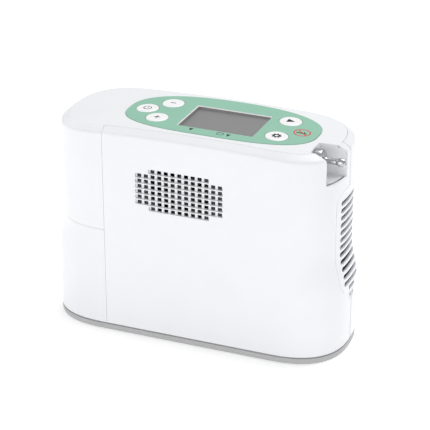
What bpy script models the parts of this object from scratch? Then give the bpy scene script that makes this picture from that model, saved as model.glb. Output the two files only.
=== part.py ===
"""Portable pulse-dose oxygen concentrator, modelled as an assembly.

Metres, +Z up. X runs along the length with the oxygen outlet at +X, the front is -Y, and the
origin is the centre of the base. The housing is one master solid; each casing is the part of its
wall that lies in that casing's region, so all outer faces stay flush with each other.
"""
import math

import bpy
from mathutils import Matrix, Vector

# ---- housing -----------------------------------------------------------------------------------
END_REACH = 0.1058        # half length of the housing above the shoulder
BASE_REACH = 0.1100       # half length below the shoulder
HALF_DEPTH = 0.0441
STRAIGHT = 0.0615         # half length of the flat part of the front and rear
UPPER_POWER = 2.45        # superellipse power of the ends above the shoulder
LOWER_POWER = 2.6
SHOULDER_TOP = 0.0785     # the ends swell outwards between these two heights
SHOULDER_FOOT = 0.0507
SHOULDER_STEPS = (0.0, 0.17, 0.34, 0.5, 0.66, 0.83, 1.0)
RIDGE_HEIGHT = 0.1548     # edge of the front and rear walls, at the middle of the length
CROWN_HEIGHT = 0.1587     # top face, at the middle of the length
CROWN_RADIUS = 1.45       # radius of the top face's gentle arch along X
BAND_INSET = 0.0059       # width in plan of the sloping band round the top
RIDGE_SHRINK = 0.3        # how much of an inward offset lowers the ridge
BAND_SHRINK = 0.7         # how much of it narrows the top face
WALL = 0.0022
GAP = 0.0003              # clearance left between neighbouring pieces
SEAM_X = -0.0603          # joint between the front and rear casings and the left end pieces
SEAM_HEIGHT = 0.0798      # top of the battery, under the top cover's left end
TOP_REGION_FOOT = 0.1400  # the top's parting line lies above this height
COVER_FOOT = 0.0600       # lower than any part of the top cover

# ---- base --------------------------------------------------------------------------------------
BASE_HEIGHT = 0.0044      # top of the base's outer wall, under the shadow groove
SHELL_FOOT = 0.0055       # lower edge of the white casings, above the shadow groove
GROOVE_DEPTH = 0.0010
BASE_FLOOR = 0.0026
BASE_WALL = 0.0040
FEET = [(x, y) for x in (-0.078, 0.078) for y in (-0.027, 0.027)]
FOOT_RADIUS = 0.0060
FOOT_HEIGHT = 0.0008
FOOT_WELL = 0.0011
SCREWS = [(-0.030, -0.034), (-0.030, 0.034), (0.088, -0.018), (0.088, 0.018)]
SCREW_HEAD = 0.0030
SCREW_HEAD_SPAN = (0.0002, 0.0012)
SCREW_WELL = 0.0015
SCREW_SHANK = 0.0014
SCREW_TOP = 0.0100
SCREW_SIDES = 16

# ---- control panel -----------------------------------------------------------------------------
PANEL_X = 0.0122          # centre of the control panel
PANEL_HALF = (0.0704, 0.0336)
PANEL_POWER = 2.63
OVERLAY_THICKNESS = 0.0008
OVERLAY_PROUD = 0.0003
SCREEN_CENTRE = (0.0150, -0.0031)
SCREEN_SIZE = (0.0560, 0.0402)
SCREEN_FOOT = 0.1450      # the screen's opening is cut from here up
WINDOW_SPAN = (0.1562, 0.1572)
MODULE_SPAN = (0.1490, 0.1556)
MODULE_MARGIN = 0.0010    # the display module is this much wider than the opening
BUTTON_RADIUS = 0.0080
BUTTON_HOLE = 0.0084
BUTTON_CHAMFER = 0.0004
BUTTON_STEM = 0.0022
BUTTON_FLANGE = 0.0092
BUTTON_HEIGHTS = (-0.0056, -0.0036, -0.0027, 0.0002, 0.0006, 0.0008)   # from the top face
BUTTONS = {
    "button_power": (-0.0448, 0.0),
    "button_minus": (-0.0312, 0.0145),
    "button_plus": (-0.0312, -0.0145),
    "button_alarm": (0.0572, 0.0145),
    "button_settings": (0.0572, -0.0145),
}
CONTROL_BOARD = ((-0.0540, -0.0270, 0.1470), (0.0690, 0.0270, 0.1486))
SWITCH_RADIUS = 0.0030
SWITCH_SPAN = (0.1480, 0.1510)

# ---- grille and vent ---------------------------------------------------------------------------
GRILLE_CENTRE = (-0.0029, 0.1161)
GRILLE_PITCH = (0.0050, 0.0040)
GRILLE_COLUMNS = 13
GRILLE_ROWS = 8
GRILLE_SHORT = 2          # columns missing at each end of the first and last row
GRILLE_HOLE = (0.0030, 0.0031)
GRILLE_SLOT = 0.0033      # height of the level slot that each row of holes lies in
GRILLE_END = 0.0012       # how far that slot runs on past its first and last holes
GRILLE_RECESS = 0.0014    # depth of that slot

VENT_HALF_WIDTH = 0.0197
VENT_SPAN = (0.0442, 0.1237)
VENT_CORNERS = (0.0160, 0.0100)   # radii of the lower and the upper corners
VENT_WALL = 0.0020
VENT_START = 0.0880       # the vent panel lies to the right of this
FILTER_SPAN = (0.0920, 0.0975)
FILTER_MARGIN = 0.0008
SLOT_COUNT = 12
SLOT_TOP = 0.1145
SLOT_PITCH = 0.00555
SLOT_HEIGHT = 0.0034
SLOT_HALF_WIDTH = 0.0137
SHORT_SLOT_HALF_WIDTH = 0.0062

# ---- oxygen outlet and power socket ------------------------------------------------------------
POCKET_LEFT = 0.0862
POCKET_END = 0.1200
POCKET_FRONT = -0.0288
POCKET_BACK = -0.0104     # at the left, sloping back towards the open end
POCKET_BACK_SLOPE = 0.20
POCKET_FLOOR = 0.1330
POCKET_WALL = 0.0016
NOZZLE_AXIS = (-0.0195, 0.1479)   # Y and Z of the outlet's axis
NOZZLE_BORE = 0.0012
NOZZLE_START = 0.0790
NOZZLE_SHANK = 0.0022
NOZZLE_HOLE = 0.0026      # hole for the shank in the pocket's wall
NOZZLE_COLLAR = 0.0932    # outer face of the collar
COLLAR_RADIUS = 0.0074
COLLAR_CHAMFERS = (0.0005, 0.0012)   # inner and outer
NOZZLE_TIP = 0.1086
BARB_PROFILE = (          # radius, place along X
    (0.0032, 0.0932), (0.0023, 0.0941), (0.0021, 0.0952), (0.0021, 0.1022),
    (0.0026, 0.1030), (0.0028, 0.1046), (0.0025, 0.1072), (0.0018, 0.1086),
)
DC_X = 0.0700
DC_Z = 0.0230
DC_RADIUS = 0.0055
DC_SPAN = (0.0362, 0.0432)
DC_BORE = 0.0038
DC_FLOOR = 0.0015

# ---- battery -----------------------------------------------------------------------------------
CELL_RADIUS = 0.0091
CELL_LENGTH = 0.0650
CELL_TERMINAL = (0.0030, 0.0020)  # radius and height
CELL_COLUMNS = (-0.0874, -0.0687, -0.0500)
CELL_ROWS = (0.0200, 0.0390, 0.0580)
CASE_WALL = 0.0016
CASE_MARGIN = 0.0010      # how far the lid, floor and face stay inside the outer skin
CASE_FLOOR = 0.0085
CASE_FACE = 0.0020
TONGUE_END = -0.0390
TONGUE_HALF_DEPTH = 0.0365
TONGUE_SPAN = (0.0085, 0.0700)
TONGUE_WALL = 0.0015
CELL_SPACE_START = -0.0780
CONTACTS_HALF = (0.0120, 0.0052)
CONTACTS_HEIGHT = 0.0390
CONTACTS_SPAN = (-0.0012, 0.0004)   # from the tongue's end
DOCK = ((-0.0383, -0.0110, 0.0340), (-0.0368, 0.0110, 0.0440))
RELEASE_HEIGHT = 0.0300
RELEASE_SIZE = (0.0240, 0.0090)
RELEASE_SPAN = (-0.1098, -0.1050)
RELEASE_FLANGE_SPAN = (-0.1070, -0.1055)
RELEASE_FLANGE = 0.0015   # how far the flange stands out round the button
RELEASE_WINDOW_END = -0.1000

# ---- frame and air path ------------------------------------------------------------------------
CHASSIS = (               # boxes, as low and high corners
    ((-0.0365, -0.0400, 0.0060), (0.0800, 0.0400, 0.0085)),
    ((-0.0365, -0.0400, 0.0060), (-0.0345, 0.0400, 0.0830)),
    ((-0.0930, -0.0290, 0.0810), (-0.0345, 0.0290, 0.0830)),
    ((0.0700, -0.0240, 0.0060), (0.0925, 0.0240, 0.0085)),
)

FAN_FRAME = (0.0680, 0.0480)
FAN_DEPTH = (-0.0413, -0.0313)
FAN_BORE = 0.0225
FAN_HUB = 0.0095
FAN_HUB_HEIGHT = 0.0072
FAN_HUB_CHAMFER = 0.0010
FAN_MOUNT = 0.0015        # thickness of the disc that carries the rotor
FAN_CLEARANCE = 0.0006    # rotor to the frame's front face
FAN_BLADES = 7
BLADE_HALF = (0.0006, 0.0042)
BLADE_PITCH = math.radians(52)
SPOKE_HALF_WIDTH = 0.0012

CRANK_AXIS_Z = 0.0360
CRANK_THROW = 0.0020
CRANK_SPAN = (-0.0310, 0.0280)
CRANK_SHAFT = 0.0025
CRANK_PIN = 0.0050
ROD_RING = (0.0102, 0.0125)       # radii
ROD_HALF = 0.0030
ROD_ARM_HALF = 0.0025
ROD_ARM_FOOT = 0.0130     # from the crank's axis
PISTON_X = 0.0220
PISTON_SPAN = (0.0620, 0.0670)
CYLINDER_RADIUS = 0.0110
CYLINDER_OUTSIDE = 0.0140
CYLINDER_SPAN = (0.0550, 0.0730)
MOTOR_SPAN = (-0.0300, 0.0080)
MOTOR_RADIUS = 0.0190
MOTOR_CHAMFER = 0.0015
MOTOR_BORE = 0.0030
MOTOR_FOOT = ((-0.0260, -0.0150, 0.0088), (0.0040, 0.0150, 0.0220))
CRANKCASE = ((0.0083, -0.0180, 0.0088), (0.0357, 0.0180, 0.0560))
CRANKCASE_HOLLOW = ((0.0113, -0.0155, 0.0160), (0.0500, 0.0155, 0.0530))
CRANKCASE_BEARING = 0.0036
CRANKCASE_COVER = ((0.0360, -0.0180, 0.0120), (0.0376, 0.0180, 0.0560))
HEAD_FOOT = 0.0733
HEAD_PROFILE = ((0.0, 0.0), (0.0150, 0.0), (0.0150, 0.0060), (0.0130, 0.0075), (0.0030, 0.0075),
                (0.0030, 0.0095), (0.0, 0.0095))

SIEVE_CENTRE = (0.0620, 0.0195)
SIEVE_RADIUS = 0.0165
SIEVE_SPAN = (0.0090, 0.1200)
SIEVE_CAP = 0.0080        # height of the wider cap at each end
SIEVE_STEP = 0.0010
MANIFOLD = ((0.0440, -0.0340, 0.1205), (0.0800, 0.0340, 0.1300))
VALVE_PLACES = (-0.0140, 0.0, 0.0140)
VALVE_COIL = ((0.0460, -0.0050, 0.1303), (0.0640, 0.0050, 0.1403))
VALVE_BODY = ((0.0630, -0.0035, 0.1303), (0.0760, 0.0035, 0.1373))

TANK_PLACE = (-0.0960, 0.0060, 0.1000)
TANK_PROFILE = ((0.0, 0.0), (0.0120, 0.0), (0.0165, 0.0040), (0.0165, 0.0480), (0.0120, 0.0520),
                (0.0030, 0.0520), (0.0030, 0.0560), (0.0, 0.0560))
MAIN_BOARD = (
    ((-0.0840, -0.0290, 0.0840), (-0.0310, -0.0274, 0.1400)),
    ((-0.0780, -0.0280, 0.1120), (-0.0580, -0.0240, 0.1300)),
    ((-0.0500, -0.0280, 0.0900), (-0.0380, -0.0240, 0.1020)),
)
MUFFLER_PLACE = (-0.0300, 0.0310, 0.0200)
MUFFLER_SIZE = (0.0080, 0.0360)   # radius and length
PRODUCT_ROUTE = (
    (-0.0396, 0.0060, 0.1000), (-0.0340, 0.0060, 0.1010), (-0.0280, 0.0060, 0.1120),
    (-0.0240, 0.0060, 0.1320), (-0.0100, 0.0040, 0.1435), (0.0300, -0.0040, 0.1437),
    (0.0600, -0.0170, 0.1437), (0.0700, NOZZLE_AXIS[0], 0.1446), (0.0755, *NOZZLE_AXIS),
    (0.0787, *NOZZLE_AXIS),
)
FEED_ROUTE = (
    (PISTON_X, 0.0, 0.0832), (PISTON_X, 0.0, 0.0880), (0.0250, 0.0, 0.1000),
    (0.0330, 0.0, 0.1150), (0.0390, 0.0, 0.1245), (0.0437, 0.0, 0.1250),
)
PRODUCT_TUBE_RADIUS = 0.0017
FEED_TUBE_RADIUS = 0.0022

# ---- drawing -----------------------------------------------------------------------------------
ARC_STEPS = 9             # outline points in each quarter of an end
SIDES = 28                # sides of round pieces
FINE_SIDES = 32
SMALL_SIDES = 20
TUBE_STEPS = 5            # curve points from one point of a tube's route to the next
SMOOTH_ANGLE = math.radians(32)
FAR = 0.2                 # beyond the housing, for cutters


# ---- materials ---------------------------------------------------------------------------------
FINISHES = {
    "white_plastic": ((0.90, 0.91, 0.92), 0.42, 0.0),
    "key_white": ((0.93, 0.93, 0.93), 0.35, 0.0),
    "grey_plastic": ((0.30, 0.31, 0.32), 0.55, 0.0),
    "green_film": ((0.32, 0.57, 0.42), 0.45, 0.0),
    "screen_grey": ((0.27, 0.27, 0.27), 0.20, 0.0),
    "black_plastic": ((0.03, 0.03, 0.03), 0.50, 0.0),
    "black_rubber": ((0.05, 0.05, 0.05), 0.80, 0.0),
    "foam": ((0.12, 0.12, 0.13), 0.95, 0.0),
    "chrome": ((0.80, 0.80, 0.80), 0.12, 1.0),
    "steel": ((0.55, 0.55, 0.56), 0.30, 1.0),
    "aluminium": ((0.70, 0.71, 0.72), 0.35, 1.0),
    "board_green": ((0.02, 0.18, 0.08), 0.50, 0.0),
    "cell_sleeve": ((0.05, 0.22, 0.42), 0.40, 0.0),
    "clear_tube": ((0.80, 0.84, 0.86), 0.25, 0.0),
    "blue_plastic": ((0.06, 0.16, 0.40), 0.45, 0.0),
}


def material(name):
    found = bpy.data.materials.get(name)
    if found:
        return found
    colour, roughness, metallic = FINISHES[name]
    made = bpy.data.materials.new(name)
    made.use_nodes = True
    shader = made.node_tree.nodes["Principled BSDF"]
    shader.inputs["Base Color"].default_value = (*colour, 1.0)
    shader.inputs["Roughness"].default_value = roughness
    shader.inputs["Metallic"].default_value = metallic
    made.diffuse_color = (*colour, 1.0)
    return made


# ---- mesh helpers ------------------------------------------------------------------------------
def clear_scene():
    for obj in list(bpy.data.objects):
        bpy.data.objects.remove(obj)


def new_object(points, faces, name="tool"):
    mesh = bpy.data.meshes.new(name)
    mesh.from_pydata([tuple(p) for p in points], [], faces)
    mesh.validate()
    obj = bpy.data.objects.new(name, mesh)
    bpy.context.scene.collection.objects.link(obj)
    return obj


def finish(obj, name, finish_name):
    """Names a piece and its mesh, gives it its material and shades its round faces smooth."""
    obj.name = name
    obj.data.name = name
    obj.data.materials.clear()
    obj.data.materials.append(material(finish_name))
    obj.data.shade_smooth()
    obj.data.set_sharp_from_angle(angle=SMOOTH_ANGLE)
    return obj


def combine(body, tool, operation):
    """Applies a Boolean of tool to body, then removes the tool."""
    modifier = body.modifiers.new("combine", "BOOLEAN")
    modifier.operation = operation
    modifier.object = tool
    graph = bpy.context.evaluated_depsgraph_get()
    mesh = bpy.data.meshes.new_from_object(body.evaluated_get(graph))
    body.modifiers.clear()
    body.data = mesh
    bpy.data.objects.remove(tool)
    return body


def cut(body, *tools):
    for tool in tools:
        combine(body, tool, "DIFFERENCE")
    return body


def keep(body, tool):
    return combine(body, tool, "INTERSECT")


def join(body, *tools):
    for tool in tools:
        combine(body, tool, "UNION")
    return body


def boxes(corners):
    """One mesh of separate closed boxes, each given as its low and high corners."""
    points, faces = [], []
    for (x0, y0, z0), (x1, y1, z1) in corners:
        start = len(points)
        points += [(x, y, z) for z in (z0, z1) for x, y in ((x0, y0), (x1, y0), (x1, y1), (x0, y1))]
        sides = [(i, (i + 1) % 4, 4 + (i + 1) % 4, 4 + i) for i in range(4)]
        for face in [(3, 2, 1, 0), (4, 5, 6, 7)] + sides:
            faces.append(tuple(start + i for i in face))
    return new_object(points, faces)


def box(low, high):
    return boxes([(low, high)])


def loft(rings, ladder=(False, False)):
    """Closed solid through rings of equal length that run anticlockwise and rise.

    A ladder cap joins each point to its mirror image across Y, for ends that arch along X."""
    count = len(rings[0])
    points = [p for ring in rings for p in ring]
    faces = []
    for level in range(len(rings) - 1):
        a, b = level * count, (level + 1) * count
        faces += [(a + i, a + (i + 1) % count, b + (i + 1) % count, b + i) for i in range(count)]
    for top, start in ((False, 0), (True, (len(rings) - 1) * count)):
        faces += cap(count, start, top, ladder[top])
    return new_object(points, faces)


def cap(count, start, top, laddered):
    if not laddered:
        loop = list(range(start, start + count))
        return [tuple(loop if top else reversed(loop))]
    rungs = []
    for i in range(count // 2):
        corners = [i, i + 1, count - i - 1, (count - i) % count]
        face = [start + c for c in dict.fromkeys(corners)]
        rungs.append(tuple(face if top else reversed(face)))
    return rungs


def prism(plan, low, high):
    """Upright prism on a plan outline."""
    return loft([[(x, y, z) for x, y in plan] for z in (low, high)])


def prism_x(section, low, high):
    """Prism along X on an outline in Y and Z that runs anticlockwise seen from +X."""
    return loft([[(x, y, z) for y, z in section] for x in (low, high)])


def circle(radius, sides=SIDES, centre=(0.0, 0.0)):
    steps = [2 * math.pi * i / sides for i in range(sides)]
    return [(centre[0] + radius * math.cos(a), centre[1] + radius * math.sin(a)) for a in steps]


def lathe(profile, placement, sides=SIDES):
    """Solid of revolution about local Z. The profile holds (radius, height) pairs from the lowest
    point on the axis to the highest; with no point on the axis it closes into a ring."""
    ring = profile[0][0] > 0
    points, faces, starts = [], [], []
    for radius, height in profile:
        starts.append(len(points))
        if radius > 0:
            points += [(x, y, height) for x, y in circle(radius, sides)]
        else:
            points.append((0.0, 0.0, height))
    pairs = list(zip(range(len(profile)), range(1, len(profile))))
    if ring:
        pairs.append((len(profile) - 1, 0))
    for low, high in pairs:
        for i in range(sides):
            j = (i + 1) % sides
            a = starts[low] + (i if profile[low][0] > 0 else 0)
            b = starts[low] + (j if profile[low][0] > 0 else 0)
            c = starts[high] + (j if profile[high][0] > 0 else 0)
            d = starts[high] + (i if profile[high][0] > 0 else 0)
            faces.append(tuple(dict.fromkeys((a, b, c, d))))
    return new_object([placement @ Vector(p) for p in points], faces)


def upright(x, y, z):
    return Matrix.Translation((x, y, z))


def along_x(x, y, z):
    return Matrix.Translation((x, y, z)) @ Matrix.Rotation(math.pi / 2, 4, "Y")


def along_y(x, y, z):
    return Matrix.Translation((x, y, z)) @ Matrix.Rotation(-math.pi / 2, 4, "X")


def rod(radius, length, placement, sides=SIDES):
    return lathe([(0.0, 0.0), (radius, 0.0), (radius, length), (0.0, length)], placement, sides)


def tube(name, route, radius, finish_name):
    """Solid round tube along a smooth curve through the route's points."""
    points = smooth_route(route, TUBE_STEPS)
    curve = bpy.data.curves.new(name, "CURVE")
    curve.dimensions = "3D"
    curve.bevel_depth = radius
    curve.bevel_resolution = 2
    curve.use_fill_caps = True
    spline = curve.splines.new("POLY")
    spline.points.add(len(points) - 1)
    for target, point in zip(spline.points, points):
        target.co = (*point, 1.0)
    curve.materials.append(material(finish_name))
    obj = bpy.data.objects.new(name, curve)
    bpy.context.scene.collection.objects.link(obj)
    return obj


def smooth_route(route, steps):
    """Catmull-Rom points through the route."""
    knots = [Vector(p) for p in route]
    knots = [2 * knots[0] - knots[1], *knots, 2 * knots[-1] - knots[-2]]
    points = []
    for a, b, c, d in zip(knots, knots[1:], knots[2:], knots[3:]):
        for i in range(steps):
            t = i / steps
            points.append(
                0.5 * (2 * b + (c - a) * t + (2 * a - 5 * b + 4 * c - d) * t * t
                       + (3 * b - a - 3 * c + d) * t ** 3)
            )
    points.append(knots[-2])
    return points


# ---- the housing's form ------------------------------------------------------------------------
def ease(t):
    t = min(max(t, 0.0), 1.0)
    return t * t * (3 - 2 * t)


def flare(height):
    """0 above the shoulder, 1 below it."""
    return ease((SHOULDER_TOP - height) / (SHOULDER_TOP - SHOULDER_FOOT))


def arch(x):
    """How far the top has dropped at x."""
    return x * x / (2 * CROWN_RADIUS)


def outline(half_length, half_depth, power, straight=STRAIGHT, centre_x=0.0):
    """Anticlockwise plan outline from the right-hand tip: straight sides and superellipse ends."""
    quarter = []
    for i in range(ARC_STEPS + 1):
        angle = math.pi / 2 * i / ARC_STEPS
        along, across = math.cos(angle), math.sin(angle)
        x = straight + (half_length - straight) * max(along, 0.0) ** (2 / power)
        quarter.append((x, half_depth * across ** (2 / power)))
    middle = [(straight * share, half_depth) for share in (0.5, 0.0, -0.5)] if straight else []
    opposite = quarter if straight else quarter[:-1]
    rear = quarter + middle + [(-x, y) for x, y in reversed(opposite)]
    front = [(x, -y) for x, y in reversed(rear[1:-1])]
    return [(x + centre_x, y) for x, y in rear + front]


def housing(offset, low):
    """The housing's solid form, shrunk by offset on every side and cut off flat at low."""
    heights = [SHOULDER_FOOT + (SHOULDER_TOP - SHOULDER_FOOT) * share for share in SHOULDER_STEPS]
    rings = []
    for height in [low] + heights:
        swell = flare(height)
        reach = END_REACH + (BASE_REACH - END_REACH) * swell
        power = UPPER_POWER + (LOWER_POWER - UPPER_POWER) * swell
        plan = outline(reach - offset, HALF_DEPTH - offset, power)
        rings.append([(x, y, height) for x, y in plan])
    plan = outline(END_REACH - offset, HALF_DEPTH - offset, UPPER_POWER)
    rings.append([(x, y, RIDGE_HEIGHT - RIDGE_SHRINK * offset - arch(x)) for x, y in plan])
    inset = BAND_INSET + BAND_SHRINK * offset
    plan = outline(END_REACH - inset, HALF_DEPTH - inset, UPPER_POWER)
    rings.append([(x, y, CROWN_HEIGHT - offset - arch(x)) for x, y in plan])
    return loft(rings, ladder=(False, True))


def wall(low):
    return cut(housing(0.0, low), housing(WALL, low - 0.01))


def crowned_slab(plan, lower, upper):
    """Slab on a plan outline whose two faces follow the top face at these offsets from it."""
    rings = [[(x, y, CROWN_HEIGHT + offset - arch(x)) for x, y in plan] for offset in (lower, upper)]
    return loft(rings, ladder=(True, True))


def left_end(gap, above):
    """Block over the left end, above or below the battery's seam, set back by half of gap."""
    right = SEAM_X - gap / 2
    if above:
        return box((-FAR, -FAR, SEAM_HEIGHT + gap / 2), (right, FAR, FAR))
    return box((-FAR, -FAR, SHELL_FOOT), (right, FAR, SEAM_HEIGHT - gap / 2))


def top_region(gap):
    """Upright block inside the top's parting line, less the outlet's corner, grown by gap/2."""
    inset = BAND_INSET - gap / 2
    plan = outline(END_REACH - inset, HALF_DEPTH - inset, UPPER_POWER)
    corner = box((POCKET_LEFT + gap / 2, -FAR, 0.0), (FAR, POCKET_BACK - gap / 2, 2 * FAR))
    return cut(prism(plan, TOP_REGION_FOOT, FAR), corner)


def pocket_plan(grow):
    """Plan of the outlet's pocket, open to the right."""
    left = POCKET_LEFT - grow
    front = POCKET_FRONT - grow
    back = POCKET_BACK + grow
    back_end = back + POCKET_BACK_SLOPE * (POCKET_END - left)
    return [(left, front), (POCKET_END, front), (POCKET_END, back_end), (left, back)]


def rounded_panel(half_width, low, high, radii, steps=5):
    """Outline in Y and Z of an upright panel with round corners, anticlockwise seen from +X."""
    lower, upper = radii
    corners = [
        (half_width - upper, high - upper, upper, 0),
        (upper - half_width, high - upper, upper, 1),
        (lower - half_width, low + lower, lower, 2),
        (half_width - lower, low + lower, lower, 3),
    ]
    points = []
    for y, z, radius, quarter in corners:
        for i in range(steps + 1):
            angle = math.pi / 2 * (quarter + i / steps)
            points.append((y + radius * math.cos(angle), z + radius * math.sin(angle)))
    return points


def vent_panel(grow):
    low, high = VENT_SPAN
    radii = [radius + grow for radius in VENT_CORNERS]
    return rounded_panel(VENT_HALF_WIDTH + grow, low - grow, high + grow, radii)

# ---- casings -----------------------------------------------------------------------------------
def make_base_plate():
    outside = outline(BASE_REACH, HALF_DEPTH, LOWER_POWER)
    rim = outline(BASE_REACH - GROOVE_DEPTH, HALF_DEPTH - GROOVE_DEPTH, LOWER_POWER)
    inside = outline(BASE_REACH - BASE_WALL, HALF_DEPTH - BASE_WALL, LOWER_POWER)
    levels = ((outside, 0.0), (outside, BASE_HEIGHT), (rim, BASE_HEIGHT + 0.00005), (rim, SHELL_FOOT - GAP))
    plate = loft([[(x, y, z) for x, y in ring] for ring, z in levels])
    cut(plate, prism(inside, BASE_FLOOR, FAR))
    for x, y in FEET:
        cut(plate, well(x, y, FOOT_RADIUS + GAP, FOOT_WELL, SIDES))
    for x, y in SCREWS:
        cut(plate, well(x, y, SCREW_HEAD + GAP, SCREW_WELL, SCREW_SIDES))
        cut(plate, well(x, y, SCREW_SHANK + GAP, BASE_WALL, SCREW_SIDES))
    finish(plate, "base_plate", "grey_plastic")


def well(x, y, radius, depth, sides):
    """Cutter for a round well in the underside."""
    below = 0.0005
    return rod(radius, depth + below, upright(x, y, -below), sides)


def make_feet_and_screws():
    for number, (x, y) in enumerate(FEET, 1):
        foot = rod(FOOT_RADIUS, FOOT_HEIGHT, upright(x, y, 0.0), SMALL_SIDES)
        finish(foot, f"foot_{number}", "black_rubber")
    low, high = SCREW_HEAD_SPAN
    profile = [(0.0, low), (SCREW_HEAD, low), (SCREW_HEAD, high), (SCREW_SHANK, high),
               (SCREW_SHANK, SCREW_TOP), (0.0, SCREW_TOP)]
    for number, (x, y) in enumerate(SCREWS, 1):
        finish(lathe(profile, upright(x, y, 0.0), SCREW_SIDES), f"base_screw_{number}", "steel")


def make_half_shell(name, side):
    """Front casing with side -1, rear casing with side +1: everything right of the seam."""
    shell = wall(SHELL_FOOT)
    left = SEAM_X + GAP / 2
    low, high = (-FAR, -GAP / 2) if side < 0 else (GAP / 2, FAR)
    keep(shell, box((left, low, -FAR), (FAR, high, FAR)))
    cut(shell, top_region(GAP), prism_x(vent_panel(GAP / 2), VENT_START, FAR))
    if side < 0:
        cut(shell, prism(pocket_plan(0.0), POCKET_FLOOR, FAR), grille_slots(), grille_holes())
    else:
        cut(shell, rod(DC_RADIUS + GAP, FAR, along_y(DC_X, 0.0, DC_Z), SMALL_SIDES))
    finish(shell, name, "white_plastic")


def grille_rows():
    """Height and hole centres along X of each row of the grille."""
    for row in range(GRILLE_ROWS):
        short = GRILLE_SHORT if row in (0, GRILLE_ROWS - 1) else 0
        columns = range(short, GRILLE_COLUMNS - short)
        middle = (GRILLE_COLUMNS - 1) / 2
        places = [GRILLE_CENTRE[0] + (column - middle) * GRILLE_PITCH[0] for column in columns]
        yield GRILLE_CENTRE[1] + (row - (GRILLE_ROWS - 1) / 2) * GRILLE_PITCH[1], places


def grille_slots():
    """Shallow level slots in the outer face, one to a row, as one cutter."""
    end = GRILLE_HOLE[0] / 2 + GRILLE_END
    half = GRILLE_SLOT / 2
    floor = -HALF_DEPTH + GRILLE_RECESS
    return boxes([
        ((places[0] - end, -FAR, z - half), (places[-1] + end, floor, z + half))
        for z, places in grille_rows()
    ])


def grille_holes():
    """The holes that go on through the wall from those slots, as one cutter."""
    wide, tall = GRILLE_HOLE[0] / 2, GRILLE_HOLE[1] / 2
    outside, inside = -HALF_DEPTH - WALL, -HALF_DEPTH + 2 * WALL
    return boxes([
        ((x - wide, outside, z - tall), (x + wide, inside, z + tall))
        for z, places in grille_rows() for x in places
    ])


def make_top_cover():
    cover = wall(COVER_FOOT)
    keep(cover, join(top_region(-GAP), left_end(GAP, above=True)))
    recess = outline(PANEL_HALF[0] + GAP, PANEL_HALF[1] + GAP, PANEL_POWER, 0.0, PANEL_X)
    cut(cover, prism(pocket_plan(0.0), POCKET_FLOOR, FAR))
    cut(cover, crowned_slab(recess, OVERLAY_PROUD - OVERLAY_THICKNESS - GAP, WALL))
    cut(cover, screen_opening(0.0), *button_holes())
    finish(cover, "top_cover", "white_plastic")


def screen_opening(shrink):
    """Upright block through the screen's opening, shrunk on all four sides."""
    (x, y), (length, depth) = SCREEN_CENTRE, SCREEN_SIZE
    wide, deep = length / 2 - shrink, depth / 2 - shrink
    return box((x - wide, y - deep, SCREEN_FOOT), (x + wide, y + deep, FAR))


def button_holes():
    start = CROWN_HEIGHT - 2 * WALL
    return [rod(BUTTON_HOLE, FAR, upright(x, y, start)) for x, y in BUTTONS.values()]


def make_side_vent():
    vent = cut(housing(0.0, SHELL_FOOT), housing(VENT_WALL, 0.0))
    keep(vent, prism_x(vent_panel(-GAP / 2), VENT_START, FAR))
    slots = [(SLOT_TOP - SLOT_PITCH * i, SLOT_HALF_WIDTH) for i in range(SLOT_COUNT)]
    slots.append((SLOT_TOP - SLOT_PITCH * SLOT_COUNT, SHORT_SLOT_HALF_WIDTH))
    for height, half_width in slots:
        cut(vent, prism_x(slot_outline(height, half_width), VENT_START, FAR))
    finish(vent, "side_vent", "white_plastic")
    finish(prism_x(vent_panel(-FILTER_MARGIN), *FILTER_SPAN), "side_filter", "foam")


def slot_outline(height, half_width, steps=4):
    """A level slot with round ends, in Y and Z, anticlockwise seen from +X."""
    radius = SLOT_HEIGHT / 2
    points = []
    for centre, start in ((half_width - radius, -math.pi / 2), (radius - half_width, math.pi / 2)):
        for i in range(steps + 1):
            angle = start + math.pi * i / steps
            points.append((centre + radius * math.cos(angle), height + radius * math.sin(angle)))
    return points


# ---- oxygen outlet -----------------------------------------------------------------------------
def make_outlet():
    pocket = prism(pocket_plan(POCKET_WALL), POCKET_FLOOR - POCKET_WALL, FAR)
    keep(pocket, housing(WALL + GAP, SHELL_FOOT))
    cut(pocket, prism(pocket_plan(0.0), POCKET_FLOOR, FAR))
    cut(pocket, rod(NOZZLE_HOLE, POCKET_WALL * 4, along_x(POCKET_LEFT - POCKET_WALL * 2, *NOZZLE_AXIS)))
    finish(pocket, "outlet_well", "white_plastic")
    flange = POCKET_LEFT + GAP
    inner, outer = COLLAR_CHAMFERS
    profile = [
        (NOZZLE_BORE, NOZZLE_START),
        (NOZZLE_SHANK, NOZZLE_START),
        (NOZZLE_SHANK, flange),
        (COLLAR_RADIUS - inner, flange),
        (COLLAR_RADIUS, flange + inner),
        (COLLAR_RADIUS, NOZZLE_COLLAR - outer),
        (COLLAR_RADIUS - outer, NOZZLE_COLLAR),
        *BARB_PROFILE,
        (NOZZLE_BORE, NOZZLE_TIP),
    ]
    finish(lathe(profile, along_x(0.0, *NOZZLE_AXIS)), "outlet_nozzle", "chrome")


# ---- control panel -----------------------------------------------------------------------------
def make_control_panel():
    plan = outline(*PANEL_HALF, PANEL_POWER, 0.0, PANEL_X)
    overlay = crowned_slab(plan, OVERLAY_PROUD - OVERLAY_THICKNESS, OVERLAY_PROUD)
    cut(overlay, screen_opening(0.0), *button_holes())
    finish(overlay, "control_overlay", "green_film")
    finish(screen_layer(GAP, *WINDOW_SPAN), "lcd_window", "screen_grey")
    finish(screen_layer(-MODULE_MARGIN, *MODULE_SPAN), "lcd_module", "black_plastic")
    board = box(*CONTROL_BOARD)
    low, high = SWITCH_SPAN
    for name, (x, y) in BUTTONS.items():
        join(board, rod(SWITCH_RADIUS, high - low, upright(x, y, low), SMALL_SIDES))
        make_button(name, x, y)
    finish(board, "control_board", "board_green")


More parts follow.
